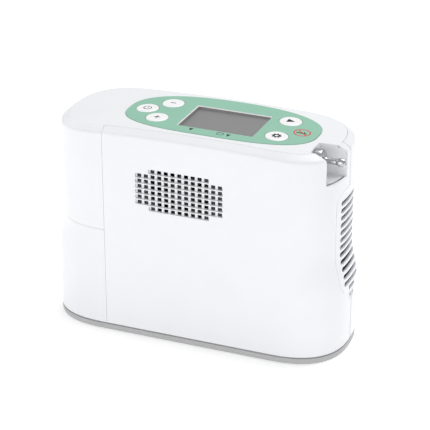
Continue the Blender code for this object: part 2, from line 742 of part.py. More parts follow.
def screen_layer(shrink, low, high):
    return keep(screen_opening(shrink), box((-FAR, -FAR, low), (FAR, FAR, high)))


def make_button(name, x, y):
    """A round key on the normal of the arched top."""
    foot, flange_low, flange_high, edge, chamfer, face = BUTTON_HEIGHTS
    profile = [
        (0.0, foot), (BUTTON_STEM, foot), (BUTTON_STEM, flange_low), (BUTTON_FLANGE, flange_low),
        (BUTTON_FLANGE, flange_high), (BUTTON_RADIUS, flange_high), (BUTTON_RADIUS, edge),
        (BUTTON_RADIUS - BUTTON_CHAMFER, chamfer), (0.0, face),
    ]
    key = finish(lathe(profile, Matrix.Identity(4)), name, "key_white")
    tilt = Matrix.Rotation(math.atan(x / CROWN_RADIUS), 4, "Y")
    key.matrix_world = upright(x, y, CROWN_HEIGHT - arch(x)) @ tilt


# ---- battery pack ------------------------------------------------------------------------------
def make_battery():
    end_x = SEAM_X - GAP / 2
    top = SEAM_HEIGHT - GAP / 2
    case = cut(housing(0.0, SHELL_FOOT), housing(CASE_WALL, 0.0))
    keep(case, left_end(GAP, above=False))
    join(case, case_layer((-FAR, -FAR, top - CASE_WALL), (end_x, FAR, top)))
    join(case, case_layer((-FAR, -FAR, 0.0), (end_x, FAR, CASE_FLOOR)))
    join(case, case_layer((end_x - CASE_FACE, -FAR, 0.0), (end_x, FAR, top)))
    low, high = TONGUE_SPAN
    half = TONGUE_HALF_DEPTH
    join(case, box((end_x - CASE_FACE / 2, -half, low), (TONGUE_END, half, high)))
    half -= TONGUE_WALL
    cut(case, box((CELL_SPACE_START, -half, low + TONGUE_WALL),
                  (TONGUE_END - TONGUE_WALL, half, high - TONGUE_WALL)))
    cut(case, contacts_block(-0.0100, FAR, GAP))
    cut(case, release_block((-FAR, RELEASE_WINDOW_END), GAP))
    finish(case, "battery_case", "white_plastic")
    finish(contacts_block(*CONTACTS_SPAN, 0.0), "battery_contacts", "black_plastic")
    finish(box(*DOCK), "battery_dock", "black_plastic")
    make_cells()
    button = join(release_block(RELEASE_SPAN, 0.0), release_block(RELEASE_FLANGE_SPAN, RELEASE_FLANGE))
    finish(button, "battery_release", "grey_plastic")


def case_layer(low, high):
    """Part of the housing's form between two corners, just inside the battery's outer skin."""
    return keep(housing(CASE_MARGIN, SHELL_FOOT), box(low, high))


def contacts_block(start, end, grow):
    """Block round the plug contacts, between two places along X from the tongue's end."""
    half_y, half_z = (half + grow for half in CONTACTS_HALF)
    return box((TONGUE_END + start, -half_y, CONTACTS_HEIGHT - half_z),
               (TONGUE_END + end, half_y, CONTACTS_HEIGHT + half_z))


def release_block(span, grow):
    """Block behind the outline of the catch button, between two places along X."""
    half_y, half_z = (size / 2 + grow for size in RELEASE_SIZE)
    return box((span[0], -half_y, RELEASE_HEIGHT - half_z), (span[1], half_y, RELEASE_HEIGHT + half_z))


def make_cells():
    shoulder = 0.0005
    tip, terminal = CELL_TERMINAL
    end = CELL_LENGTH - terminal
    profile = [(0.0, 0.0), (CELL_RADIUS - shoulder, 0.0), (CELL_RADIUS, shoulder), (CELL_RADIUS, end),
               (tip, end), (tip, CELL_LENGTH), (0.0, CELL_LENGTH)]
    places = [(x, z) for x in CELL_COLUMNS for z in CELL_ROWS]
    places.remove((CELL_COLUMNS[0], CELL_ROWS[-1]))   # the end narrows there
    for number, (x, z) in enumerate(places, 1):
        cell = lathe(profile, along_y(x, -CELL_LENGTH / 2, z), SMALL_SIDES)
        finish(cell, f"battery_cell_{number}", "cell_sleeve")


# ---- frame and air path ------------------------------------------------------------------------
def make_chassis():
    floor, *others = (box(*corners) for corners in CHASSIS)
    chassis = join(floor, *others)
    for x, y in SCREWS:
        cut(chassis, rod(SCREW_SHANK + GAP, 2 * SCREW_TOP, upright(x, y, 0.0), SCREW_SIDES))
    finish(chassis, "chassis", "black_plastic")


def make_fan():
    x, z = GRILLE_CENTRE
    front, back = FAN_DEPTH
    wide, tall = FAN_FRAME[0] / 2, FAN_FRAME[1] / 2
    frame = box((x - wide, front, z - tall), (x + wide, back, z + tall))
    depth = back - front
    cut(frame, rod(FAN_BORE, 3 * depth, along_y(x, front - depth, z), FINE_SIDES))
    mount = rod(FAN_HUB, FAN_MOUNT, along_y(x, back - FAN_MOUNT, z), SMALL_SIDES)
    near, far = back - FAN_MOUNT + 0.0001, back - 0.0002
    reach = FAN_BORE + GAP
    for across, up in ((reach, SPOKE_HALF_WIDTH), (SPOKE_HALF_WIDTH, reach)):
        join(mount, box((x - across, near, z - up), (x + across, far, z + up)))
    finish(join(frame, mount), "fan_frame", "black_plastic")
    profile = [(0.0, 0.0), (FAN_HUB - FAN_HUB_CHAMFER, 0.0), (FAN_HUB, FAN_HUB_CHAMFER),
               (FAN_HUB, FAN_HUB_HEIGHT), (0.0, FAN_HUB_HEIGHT)]
    rotor = lathe(profile, Matrix.Identity(4), SMALL_SIDES)
    for i in range(FAN_BLADES):
        join(rotor, blade(2 * math.pi * i / FAN_BLADES))
    finish(rotor, "fan_rotor", "black_plastic")
    rotor.matrix_world = along_y(x, front + FAN_CLEARANCE, z)


def blade(turn):
    thick, long = BLADE_HALF
    made = box((FAN_HUB - 0.0010, -thick, -long), (FAN_BORE - 4 * GAP, thick, long))
    lift = Matrix.Translation((0, 0, FAN_HUB_HEIGHT / 2))
    made.data.transform(Matrix.Rotation(turn, 4, "Z") @ lift @ Matrix.Rotation(BLADE_PITCH, 4, "X"))
    return made


def make_compressor():
    z = CRANK_AXIS_Z
    start, end = MOTOR_SPAN
    profile = [
        (MOTOR_BORE, start),
        (MOTOR_RADIUS - MOTOR_CHAMFER, start),
        (MOTOR_RADIUS, start + MOTOR_CHAMFER),
        (MOTOR_RADIUS, end),
        (MOTOR_BORE, end),
    ]
    motor = join(lathe(profile, along_x(0.0, 0.0, z)), box(*MOTOR_FOOT))
    cut(motor, rod(MOTOR_BORE, 2 * (end - start), along_x(2 * start, 0.0, z), SMALL_SIDES))
    finish(motor, "compressor_motor", "steel")
    low, high = CYLINDER_SPAN
    body = join(box(*CRANKCASE), rod(CYLINDER_OUTSIDE, high - low, upright(PISTON_X, 0.0, low)))
    cut(body, box(*CRANKCASE_HOLLOW))
    cut(body, rod(CYLINDER_RADIUS, 2 * (high - low), upright(PISTON_X, 0.0, low - 0.0050)))
    cut(body, rod(CRANKCASE_BEARING, PISTON_X, along_x(0.0, 0.0, z), SMALL_SIDES))
    finish(body, "compressor_body", "aluminium")
    finish(box(*CRANKCASE_COVER), "compressor_cover", "aluminium")
    finish(lathe(HEAD_PROFILE, upright(PISTON_X, 0.0, HEAD_FOOT)), "compressor_head", "aluminium")
    make_crank()
    make_piston(z + CRANK_THROW)


def make_crank():
    """Shaft with an eccentric pin, modelled round the crank's own axis."""
    start, end = CRANK_SPAN
    shaft = rod(CRANK_SHAFT, end - start, along_x(start, 0.0, 0.0), SMALL_SIDES)
    pin = rod(CRANK_PIN, 2 * ROD_HALF, along_x(PISTON_X - ROD_HALF, 0.0, CRANK_THROW), SMALL_SIDES)
    crank = finish(join(shaft, pin), "crank", "steel")
    crank.location = (0, 0, CRANK_AXIS_Z)


def make_piston(pin_height):
    """Piston with its rod, whose ring runs round the crank's pin."""
    inner, outer = ROD_RING
    profile = [(inner, -ROD_HALF), (outer, -ROD_HALF), (outer, ROD_HALF), (inner, ROD_HALF)]
    piston = lathe(profile, along_x(PISTON_X, 0.0, pin_height))
    low, high = PISTON_SPAN
    join(piston, box((PISTON_X - ROD_ARM_HALF, -ROD_ARM_HALF, CRANK_AXIS_Z + ROD_ARM_FOOT),
                     (PISTON_X + ROD_ARM_HALF, ROD_ARM_HALF, low + ROD_ARM_HALF / 2)))
    join(piston, rod(CYLINDER_RADIUS - GAP, high - low, upright(PISTON_X, 0.0, low)))
    finish(piston, "piston", "aluminium")


def make_sieve_beds():
    x, half = SIEVE_CENTRE
    low, high = SIEVE_SPAN
    outer, inner = SIEVE_RADIUS, SIEVE_RADIUS - SIEVE_STEP
    lower_half = [(0.0, 0.0), (inner, 0.0), (outer, SIEVE_STEP), (outer, SIEVE_CAP),
                  (inner, SIEVE_CAP + SIEVE_STEP)]
    profile = [(radius, low + rise) for radius, rise in lower_half]
    profile += [(radius, high - rise) for radius, rise in reversed(lower_half)]
    for name, y in (("sieve_bed_front", -half), ("sieve_bed_rear", half)):
        finish(lathe(profile, upright(x, y, 0.0)), name, "aluminium")
    finish(box(*MANIFOLD), "valve_manifold", "blue_plastic")
    for number, y in enumerate(VALVE_PLACES, 1):
        valve = join(box(*VALVE_COIL), box(*VALVE_BODY))
        valve.data.transform(Matrix.Translation((0, y, 0)))
        finish(valve, f"solenoid_valve_{number}", "steel")


def make_electronics_and_air():
    finish(lathe(TANK_PROFILE, along_x(*TANK_PLACE)), "oxygen_tank", "aluminium")
    board, *parts = (box(*corners) for corners in MAIN_BOARD)
    finish(join(board, *parts), "main_board", "board_green")
    muffler = rod(*MUFFLER_SIZE, along_x(*MUFFLER_PLACE), SMALL_SIDES)
    finish(muffler, "intake_muffler", "black_plastic")
    depth = DC_SPAN[1] - DC_SPAN[0]
    profile = [(0.0, 0.0), (DC_RADIUS, 0.0), (DC_RADIUS, depth), (DC_BORE, depth), (DC_BORE, DC_FLOOR),
               (0.0, DC_FLOOR)]
    finish(lathe(profile, along_y(DC_X, DC_SPAN[0], DC_Z), SMALL_SIDES), "dc_socket", "black_plastic")
    tube("product_tube", PRODUCT_ROUTE, PRODUCT_TUBE_RADIUS, "clear_tube")
    tube("feed_tube", FEED_ROUTE, FEED_TUBE_RADIUS, "clear_tube")


def build():
    clear_scene()
    make_base_plate()
    make_feet_and_screws()
    make_half_shell("front_shell", -1)
    make_half_shell("rear_shell", 1)
    make_top_cover()
    make_side_vent()
    make_outlet()
    make_control_panel()
    make_battery()
    make_chassis()
    make_fan()
    make_compressor()
    make_sieve_beds()
    make_electronics_and_air()


build()
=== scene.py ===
"""Looks of the portable oxygen concentrator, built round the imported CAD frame.

The casings are cut from one master surface, described by a place s round the plan outline and a
path w that climbs the wall, turns over the ridge and ends on the arched top. Units are metres.
"""
from math import acos, asin, atan, atan2, ceil, copysign, cos, hypot, pi, radians, sin, tan

import bpy
from mathutils import Matrix, Vector, geometry


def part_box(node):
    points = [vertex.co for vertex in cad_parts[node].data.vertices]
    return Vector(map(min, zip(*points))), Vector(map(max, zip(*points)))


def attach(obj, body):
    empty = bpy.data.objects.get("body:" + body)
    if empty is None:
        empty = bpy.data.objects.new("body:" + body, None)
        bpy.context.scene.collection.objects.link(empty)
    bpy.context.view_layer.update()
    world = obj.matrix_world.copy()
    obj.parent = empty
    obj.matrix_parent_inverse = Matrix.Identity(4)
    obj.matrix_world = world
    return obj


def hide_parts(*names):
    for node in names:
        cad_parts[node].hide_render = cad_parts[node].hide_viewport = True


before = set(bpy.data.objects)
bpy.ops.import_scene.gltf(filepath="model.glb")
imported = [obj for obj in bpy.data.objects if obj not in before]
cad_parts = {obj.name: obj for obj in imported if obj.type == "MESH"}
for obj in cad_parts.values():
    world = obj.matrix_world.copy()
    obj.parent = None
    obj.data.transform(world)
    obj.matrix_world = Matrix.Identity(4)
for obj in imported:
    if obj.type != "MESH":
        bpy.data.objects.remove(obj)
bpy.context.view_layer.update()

# ---- driving dimensions ----
BASE_REACH, HALF_DEPTH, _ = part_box("base_plate")[1]
END_REACH = -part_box("top_cover")[0].x
CROWN_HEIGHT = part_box("top_cover")[1].z
SHELL_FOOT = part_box("front_shell")[0].z
STRAIGHT = 0.0615  # the round ends start here, on both sides of the middle
UPPER_POWER, LOWER_POWER = 2.45, 2.6  # squareness of the ends, above and below the shoulder
SHOULDER_TOP, SHOULDER_FOOT = 0.0785, 0.0507
CROWN_RADIUS = 1.45  # of the top's gentle arch
BAND_INSET, BAND_RISE = 0.0059, 0.0039  # sloping band between the ridge and the top
RIDGE_ROUND, CREASE_ROUND = 0.0032, 0.001
FLAT_TOP = 0.1455  # up to here the wall's rows are level
WALL, PACK_WALL = 0.0022, 0.0016
GAP = 0.0003  # clearance between parts that come apart
SEAM_ROUND = 0.00012  # rounding of the casings' edges at their joints
JOINT = 0.00008  # half of the hairline left at the casings' joints
TIGHT = 0.00002  # half of the joints that barely show: round the top and down the right end
EDGE = JOINT + SEAM_ROUND  # from a joint's middle to where the wall's rounding starts
LIP_ROUND = 0.0009  # rounding of the rim of the outlet's pocket
HAIR = 0.0001  # least offset, so that two faces never coincide

SEAM_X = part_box("front_shell")[0].x - GAP / 2
SEAM_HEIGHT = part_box("battery_case")[1].z + GAP / 2
LEFT_SEAM = (SEAM_X - EDGE) / STRAIGHT  # in s, from the middle
PACK_FACE = SEAM_X - GAP / 2 - HAIR

PANEL_X = 0.0122
PANEL_HALF = (0.0704, 0.0336)
PANEL_POWER = 2.63
SCREEN_CENTRE, SCREEN_SIZE = (0.015, -0.0031), (0.056, 0.0402)
KEYS = {
    "button_power": (-0.0448, 0.0),
    "button_minus": (-0.0312, 0.0145),
    "button_plus": (-0.0312, -0.0145),
    "button_alarm": (0.0572, 0.0145),
    "button_settings": (0.0572, -0.0145),
}
KEY_RADIUS, KEY_HOLE, KEY_RISE, FILM_RISE = 0.008, 0.0083, 0.0008, 0.0003
STEM_FOOT, FLANGE_FOOT, FLANGE_TOP = -0.0056, -0.0036, -0.0027
STEM_RADIUS, FLANGE_RADIUS = 0.0022, 0.0092

GRILLE_CENTRE, GRILLE_PITCH, GRILLE_HOLE = (-0.0029, 0.1161), (0.005, 0.004), (0.003, 0.0033)
GRILLE_END, GRILLE_RECESS, GRILLE_CORNER = 0.0012, 0.0014, 0.0009
GRILLE_COLUMNS, GRILLE_ROWS, GRILLE_SHORT = 13, 8, 2

VENT_HALF_WIDTH, VENT_SPAN, VENT_CORNERS = 0.0197, (0.0442, 0.1237), (0.016, 0.01)
SLOT_COUNT, SLOT_TOP, SLOT_PITCH, SLOT_HEIGHT = 12, 0.1145, 0.00555, 0.0034
SLOT_HALF_WIDTH, SHORT_SLOT_HALF_WIDTH, SLOT_LIP = 0.0137, 0.0062, 0.0004
VENT_THICKNESS = 0.002
LATCH_HEIGHTS, LATCH_DEPTH = (0.0405, 0.0436), 0.0015
LATCH_EYES = {"front": (-0.0046, -0.0012), "rear": (0.0012, 0.0036)}

POCKET_LEFT, POCKET_FRONT, POCKET_FLOOR = 0.0862, -0.0288, 0.133
POCKET_BACK, POCKET_BACK_SLOPE = -0.0104, 0.2
POCKET_END = 0.12
POCKET_CORNER, LINER = 0.0014, 0.0016
NOZZLE_AXIS, NOZZLE_COLLAR, NOZZLE_BARB = (-0.0195, 0.1479), 0.0932, 0.103
DC_PLACE, DC_RADIUS = (0.07, 0.023), 0.0055

CATCH_BORDER, CATCH_CORNER, CATCH_LIP = 0.0015, 0.0016, 0.0005  # border: flange round the cap
CATCH_FLANGE = (-0.107, -0.1055)
TONGUE_HALF, TONGUE_HEIGHTS, TONGUE_WALL = 0.0365, (0.0085, 0.07), 0.0015
TONGUE_ROOT, GROOVE_START, GROOVES, GROOVE_WIDTH = -0.078, -0.057, (0.017, 0.056), 0.003

INNER_ROUNDING = 0.00025  # edges of the CAD nodes that stay
END_STEPS = 30  # surface columns in each quarter of an end
SIDE_STEPS = 14
FAR = 0.2


# ---- the master surface ----
def ease(t):
    t = min(max(t, 0.0), 1.0)
    return t * t * (3 - 2 * t)


def arch(x):
    return x * x / (2 * CROWN_RADIUS)


def top_path():
    """(inset, height, share of the arch) from the wall over the ridge and up the band to the top."""
    slope = atan2(BAND_INSET, BAND_RISE)
    ridge = CROWN_HEIGHT - BAND_RISE - RIDGE_ROUND * tan(slope / 2)
    path = [(0.0, FLAT_TOP, 0.0)]
    for i in range(9):
        turn = slope * i / 8
        path.append((RIDGE_ROUND * (1 - cos(turn)), ridge + RIDGE_ROUND * sin(turn), 1.0))
    setback = CREASE_ROUND * tan((pi / 2 - slope) / 2)
    for i in range(4):
        turn = slope + (pi / 2 - slope) * i / 3
        inset = BAND_INSET + setback - CREASE_ROUND * cos(turn)
        path.append((inset, CROWN_HEIGHT - CREASE_ROUND * (1 - sin(turn)), 1.0))
    path.append((BAND_INSET + 0.009, CROWN_HEIGHT, 1.0))
    return path


TOP_PATH = top_path()
TOP_MARKS = [FLAT_TOP]
for (a0, b0, _), (a1, b1, _) in zip(TOP_PATH, TOP_PATH[1:]):
    TOP_MARKS.append(TOP_MARKS[-1] + hypot(a1 - a0, b1 - b0))
CREASE_W = TOP_MARKS[-2]  # where the band has met the top
BAND_END_W = TOP_MARKS[-5]  # where the crease's rounding starts


def profile(w):
    """(inset, height, share of the arch) at w."""
    if w <= FLAT_TOP:
        return 0.0, w, 0.0
    for i in range(len(TOP_MARKS) - 1):
        if w <= TOP_MARKS[i + 1] or i == len(TOP_MARKS) - 2:
            t = (w - TOP_MARKS[i]) / (TOP_MARKS[i + 1] - TOP_MARKS[i])
            return tuple(a + (b - a) * t for a, b in zip(TOP_PATH[i], TOP_PATH[i + 1]))


def section(w):
    """(reach, depth, power, height, share of the arch) of the plan outline at w."""
    inset, height, share = profile(w)
    swell = ease((SHOULDER_TOP - height) / (SHOULDER_TOP - SHOULDER_FOOT))
    reach = END_REACH + (BASE_REACH - END_REACH) * swell - inset
    power = UPPER_POWER + (LOWER_POWER - UPPER_POWER) * swell
    return reach, HALF_DEPTH - inset, power, height, share


def plan_point(s, reach, depth, power):
    """Place s round a plan outline: 0 right tip, 1 to 3 rear, 4 left tip, 5 to 7 front."""
    s %= 8
    if 1 < s < 3:
        return STRAIGHT * (2 - s), depth
    if 5 < s < 7:
        return STRAIGHT * (s - 6), -depth
    side = 1 if s <= 1 or s >= 7 else -1
    angle = pi / 2 * ((s if s <= 1 else s - 8) if side > 0 else 4 - s)
    x = STRAIGHT + (reach - STRAIGHT) * abs(cos(angle)) ** (2 / power)
    y = depth * abs(sin(angle)) ** (2 / power)
    return side * x, copysign(y, angle)


def level_ring(places, w, inset=0.0):
    """Points round the plan outline at w, set in from the surface, at w's height."""
    reach, depth, power, height, _ = section(w)
    return [(*plan_point(s, reach - inset, depth - inset, power), height) for s in places]


def surface(s, w):
    reach, depth, power, height, share = section(w)
    x, y = plan_point(s, reach, depth, power)
    return Vector((x, y, height - share * arch(x)))


def surface_normal(s, w):
    ds, dw = 1e-3, 2e-5
    low = min(w, TOP_MARKS[-1] - 2 * dw)
    along = surface(s + ds, w) - surface(s - ds, w)
    up = surface(s, low + dw) - surface(s, low - dw)
    return along.cross(up).normalized()


def s_at_y(y, w):
    """Place on the right end where the outline at w has this y."""
    _, depth, power, _, _ = section(w)
    angle = asin(min(abs(y) / depth, 1.0) ** (power / 2))
    return copysign(angle / (pi / 2), y)


def s_on_left(y, w):
    """Place on the left end where the outline at w has this y."""
    return 4 - s_at_y(y, w)


def s_on_rear(x, w):
    """Place on the rear half where the outline at w has this x."""
    if x <= STRAIGHT:
        return 2 - x / STRAIGHT
    reach, _, power, _, _ = section(w)
    return acos(((x - STRAIGHT) / (reach - STRAIGHT)) ** (power / 2)) / (pi / 2)


def crown(x, y, lift=0.0):
    return Vector((x, y, CROWN_HEIGHT + lift - arch(x)))


def crown_normal(x):
    return Vector((x / CROWN_RADIUS, 0.0, 1.0)).normalized()


# ---- outlines ----
def spread(low, high, count):
    return [low + (high - low) * i / count for i in range(count + 1)]


def arc(centre, radius, start=0.0, end=2 * pi, steps=48):
    return [(centre[0] + radius * cos(a), centre[1] + radius * sin(a))
            for a in spread(start, end, steps)]


def circle_at(centre, radius, steps=48):
    return arc(centre, radius, steps=steps)[:-1]


def quarter_arcs(corners, steps):
    """Anticlockwise outline from the centre and radius of its four corners, top right first."""
    return [point for i, (x, y, radius) in enumerate(corners)
            for point in arc((x, y), radius, pi / 2 * i, pi / 2 * (i + 1), steps)]


def rounded_box(centre, size, radius, steps=4):
    (cx, cy), x, y = centre, size[0] / 2 - radius, size[1] / 2 - radius
    return quarter_arcs([(cx + x, cy + y, radius), (cx - x, cy + y, radius), (cx - x, cy - y, radius),
            (cx + x, cy - y, radius)], steps)


def panel_outline(grow):
    """Outline in Y and Z of the vent panel, anticlockwise seen from +X."""
    half, (low, high) = VENT_HALF_WIDTH + grow, (VENT_SPAN[0] - grow, VENT_SPAN[1] + grow)
    lower, upper = (radius + grow for radius in VENT_CORNERS)
    corners = [(half - upper, high - upper, upper), (upper - half, high - upper, upper),
            (lower - half, low + lower, lower), (half - lower, low + lower, lower)]
    return finer(quarter_arcs(corners, 8), 0.002)


def slot_outline(height, half_width, grow):
    end, radius, turn = half_width - SLOT_HEIGHT / 2, SLOT_HEIGHT / 2 + grow, pi / 2
    return arc((end, height), radius, -turn, turn, 6) + arc((-end, height), radius, turn, 3 * turn, 6)


def superellipse(grow, count=96):
    """Outline of the control panel, larger by grow."""
    points = []
    for angle in spread(0, 2 * pi, count)[:-1]:
        c, s = cos(angle), sin(angle)
        x, y = ((half + grow) * abs(v) ** (2 / PANEL_POWER) for half, v in zip(PANEL_HALF, (c, s)))
        points.append((PANEL_X + copysign(x, c), copysign(y, s)))
    return points


def curve(before, here, after, t):
    """Point at t of the curve from one point to another that leans towards the middle one."""
    return before * (1 - t) ** 2 + here * 2 * t * (1 - t) + after * t * t


def bent(before, here, after, radius, steps, limit=1.0):
    """Curve that replaces the corner at here, starting at most this share along its sides."""
    sides = [Vector(p) - Vector(here) for p in (before, after)]
    reach = min([radius] + [side.length * limit for side in sides])
    start, end = (Vector(here) + side.normalized() * reach for side in sides)
    return [tuple(curve(start, Vector(here), end, t)) for t in spread(0, 1, steps)]


def rounded_polygon(corners, radius):
    count = len(corners)
    return [point for i in range(count)
            for point in bent(*(corners[(i + k) % count] for k in (-1, 0, 1)), radius, 5)]


def rounded(outline, radius, steps=4):
    """The open outline with each inner corner rounded by up to this radius."""
    corners = zip(outline, outline[1:], outline[2:])
    return [outline[0], *(p for c in corners for p in bent(*c, radius, steps, 0.45)), outline[-1]]


def finer(outline, step):
    """The outline with points added so that none are further apart than step."""
    points = []
    for (x0, y0), (x1, y1) in zip(outline, outline[1:] + outline[:1]):
        count = max(1, ceil(hypot(x1 - x0, y1 - y0) / step))
        points += [(x0 + (x1 - x0) * i / count, y0 + (y1 - y0) * i / count) for i in range(count)]
    return points


def on_right_end(outline, turn=0.0):
    """An outline in Y and Z carried to s and w on the right end."""
    return [(s_at_y(y, z) + turn, z) for y, z in outline]


# ---- mesh building ----
class Region:
    """Closed outline with its box, for quick tests of what lies in it."""

    def __init__(self, outline):
        self.outline = [tuple(p) for p in outline]
        xs, ys = zip(*self.outline)
        self.box = min(xs), min(ys), max(xs), max(ys)

    def holds(self, point):
        (x, y), (low_x, low_y, high_x, high_y), found = point, self.box, False
        if not (low_x <= x <= high_x and low_y <= y <= high_y):
            return False
        for (x0, y0), (x1, y1) in zip(self.outline, self.outline[1:] + self.outline[:1]):
            if (y0 > y) != (y1 > y) and x < (x1 - x0) * (y - y0) / (y1 - y0) + x0:
                found = not found
        return found


def triangles_in_plane(points, edges, keep):
    """Triangles between these points that keep to the edges, as long as keep(centre) says so."""
    cut = geometry.delaunay_2d_cdt([Vector(p) for p in points], edges, [], 0, 1e-8)
    corners, faces = cut[0], cut[2]
    kept = []
    for face in faces:
        centre = sum((corners[i] for i in face), Vector((0, 0))) / len(face)
        if keep(centre):
            kept.append(tuple(face))
    return [tuple(c) for c in corners], kept


def closed_edges(start, count):
    return [(start + i, start + (i + 1) % count) for i in range(count)]


def grid_patch(s_lines, w_lines, holes, keep=lambda s, w: True, guides=()):
    """Part of the master surface: (points, normals, triangles), with holes cut out of a grid. The
    triangles also follow the guides."""
    scale = 0.05                  # brings s to about the size of w
    points = [(s * scale, w) for w in w_lines for s in s_lines]
    wide = len(s_lines)
    edges = [(at, at + 1) for at in range(len(points)) if at % wide < wide - 1]
    edges += [(at, at + wide) for at in range(len(points) - wide)]
    regions = [Region([(s * scale, w) for s, w in hole]) for hole in holes]
    for region in regions:
        edges += closed_edges(len(points), len(region.outline))
        points += region.outline
    for guide in guides:
        edges += [(len(points) + i, len(points) + i + 1) for i in range(len(guide) - 1)]
        points += [(s * scale, w) for s, w in guide]
    low_s, high_s = s_lines[0] * scale, s_lines[-1] * scale

    def kept(centre):
        if not (low_s < centre.x < high_s and w_lines[0] < centre.y < w_lines[-1]):
            return False
        return keep(centre.x / scale, centre.y) and not any(r.holds(centre) for r in regions)

    flat, faces = triangles_in_plane(points, edges, kept)
    places = [(u / scale, w) for u, w in flat]
    return used_only([surface(s, w) for s, w in places], [surface_normal(s, w) for s, w in places], faces)


def plan_patch(outline, holes, lift=0.0, spacing=0.006):
    """Part of the arched top inside a plan outline: (points, normals, triangles)."""
    outer, inner = Region(outline), [Region(hole) for hole in holes]

    def kept(spot):
        return outer.holds(spot) and not any(r.holds(spot) for r in inner)

    points, edges = [], []
    for region in [outer] + inner:
        edges += closed_edges(len(points), len(region.outline))
        points += region.outline
    x0, y0, x1, y1 = outer.box
    clear = spacing * 0.35
    for i in range(1, int((x1 - x0) / spacing)):
        for j in range(1, int((y1 - y0) / spacing)):
            x, y = x0 + i * spacing, y0 + j * spacing
            if all(kept((x + dx, y + dy)) for dx in (-clear, clear) for dy in (-clear, clear)):
                points.append((x, y))
    flat, faces = triangles_in_plane(points, edges, kept)
    return used_only([crown(x, y, lift) for x, y in flat], [crown_normal(x) for x, _ in flat], faces)


def used_only(points, normals, faces):
    used = sorted({i for face in faces for i in face})
    index = {old: new for new, old in enumerate(used)}
    faces = [tuple(index[i] for i in face) for face in faces]
    return [points[i] for i in used], [normals[i] for i in used], faces


def welded(*patches):
    """Several patches as one, with points that coincide made one."""
    points, normals, faces, seen = [], [], [], {}
    for more_points, more_normals, more_faces in patches:
        index = []
        for point, normal in zip(more_points, more_normals):
            key = tuple(round(c * 2e5) for c in point)
            if key not in seen:
                seen[key] = len(points)
                points.append(point)
                normals.append(normal)
            index.append(seen[key])
        faces += [tuple(index[i] for i in face) for face in more_faces]
    return points, normals, [f for f in faces if len(set(f)) == len(f)]


def boundary(faces):
    """For each point on a patch's edge, its neighbours (before, after) with the patch on the left."""
    directed = {(f[i], f[(i + 1) % len(f)]) for f in faces for i in range(len(f))}
    rim = [(a, b) for a, b in directed if (b, a) not in directed]
    after = dict(rim)
    before = {b: a for a, b in rim}
    return {a: (before[a], after[a]) for a in after}


def shell(name, patch, depth, rounding, skirt=lambda p, n: -n, steps=4):
    """Solid shell under a patch, with rounded rims. rounding(point) is the rim's radius there, and
    skirt(point, normal) the way the rim runs down."""
    points, normals, faces = patch
    edge = boundary(faces)
    built, corner_normals, polygons = list(points), [], []

    def add(face, face_normals):
        polygons.append(face)
        corner_normals.extend(face_normals)

    for face in faces:
        add(face, [normals[i] for i in face])
    under = len(built)
    built += [p - n * depth for p, n in zip(points, normals)]
    for face in faces:
        add(tuple(under + i for i in reversed(face)), [-normals[i] for i in reversed(face)])
    rings = {}
    for i, (before, after) in edge.items():
        point, normal = points[i], normals[i]
        first = (point - points[before]).cross(normal).normalized()
        second = (points[after] - point).cross(normal).normalized()
        out = (first + second) / max(1 + first.dot(second), 0.5)
        radius = rounding(point)
        down = skirt(point, normal)
        corner = point + out * radius
        foot = corner + down * radius
        along = (points[after] - points[before]).normalized()
        ring = [(i, normal)]
        for k in range(1, steps + 1):
            t = k / steps
            way = (corner - point) * (1 - t) + (foot - corner) * t
            built.append(curve(point, corner, foot, t))
            ring.append((len(built) - 1, along.cross(way).normalized() * -1))
        built.append(corner + down * max(depth, radius * 1.5))
        ring.append((len(built) - 1, ring[-1][1]))
        rings[i] = ring
    for i, (_, after) in edge.items():
        one, two = rings[i], rings[after]
        for (a, na), (b, nb), (c, nc), (d, nd) in zip(one, two, two[1:], one[1:]):
            add((b, a, d, c), [nb, na, nd, nc])
        low, high = one[-1][0], two[-1][0]
        face_normal = -normals[i]
        add((high, low, under + i, under + after), [face_normal] * 4)
    return mesh_object(name, built, polygons, corner_normals)


def mesh_object(name, points, faces, corner_normals=None):
    mesh = bpy.data.meshes.new(name)
    mesh.from_pydata([tuple(p) for p in points], [], faces)
    mesh.shade_smooth()
    if corner_normals:
        mesh.normals_split_custom_set(corner_normals)
    obj = bpy.data.objects.new(name, mesh)
    bpy.context.scene.collection.objects.link(obj)
    return obj


def place_piece(obj, body, slot, *nodes, finish=None):
    """Puts a piece on its body in the slot's finish, in place of these CAD nodes."""
    obj.data.materials.append(finish or FINISHES[slot])
    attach(obj, body)
    if nodes:
        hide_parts(*nodes)


# ---- casings ----
def thinned(marks, low, high, least):
    """The marks from low to high in order, with both ends, and none closer together than least."""
    marks = sorted(m for m in {low, high, *marks} if low <= m <= high)
    kept = [low]
    for mark in marks[1:-1]:
        if mark - kept[-1] > least and high - mark > least:
            kept.append(mark)
    return kept + [high]


def stations(low, high):
    """Places along s from low to high, dense round the ends and even along the straight sides."""
    marks = []
    for quarter in range(16):
        steps = SIDE_STEPS // 2 if quarter % 4 in (1, 2) else END_STEPS
        marks += [quarter + i / steps for i in range(steps)]
    return thinned(marks, low, high, 0.008)


def levels(low, high):
    """Heights w from low to high, closer together over the shoulder and the ridge."""
    marks = spread(0.0075, SHOULDER_FOOT, 6) + spread(SHOULDER_FOOT, SHOULDER_TOP, 14)
    marks += spread(SHOULDER_TOP, FLAT_TOP, 9) + TOP_MARKS[1:-1] + spread(TOP_MARKS[9], TOP_MARKS[10], 4)
    return thinned(marks, low, high, 0.00012)


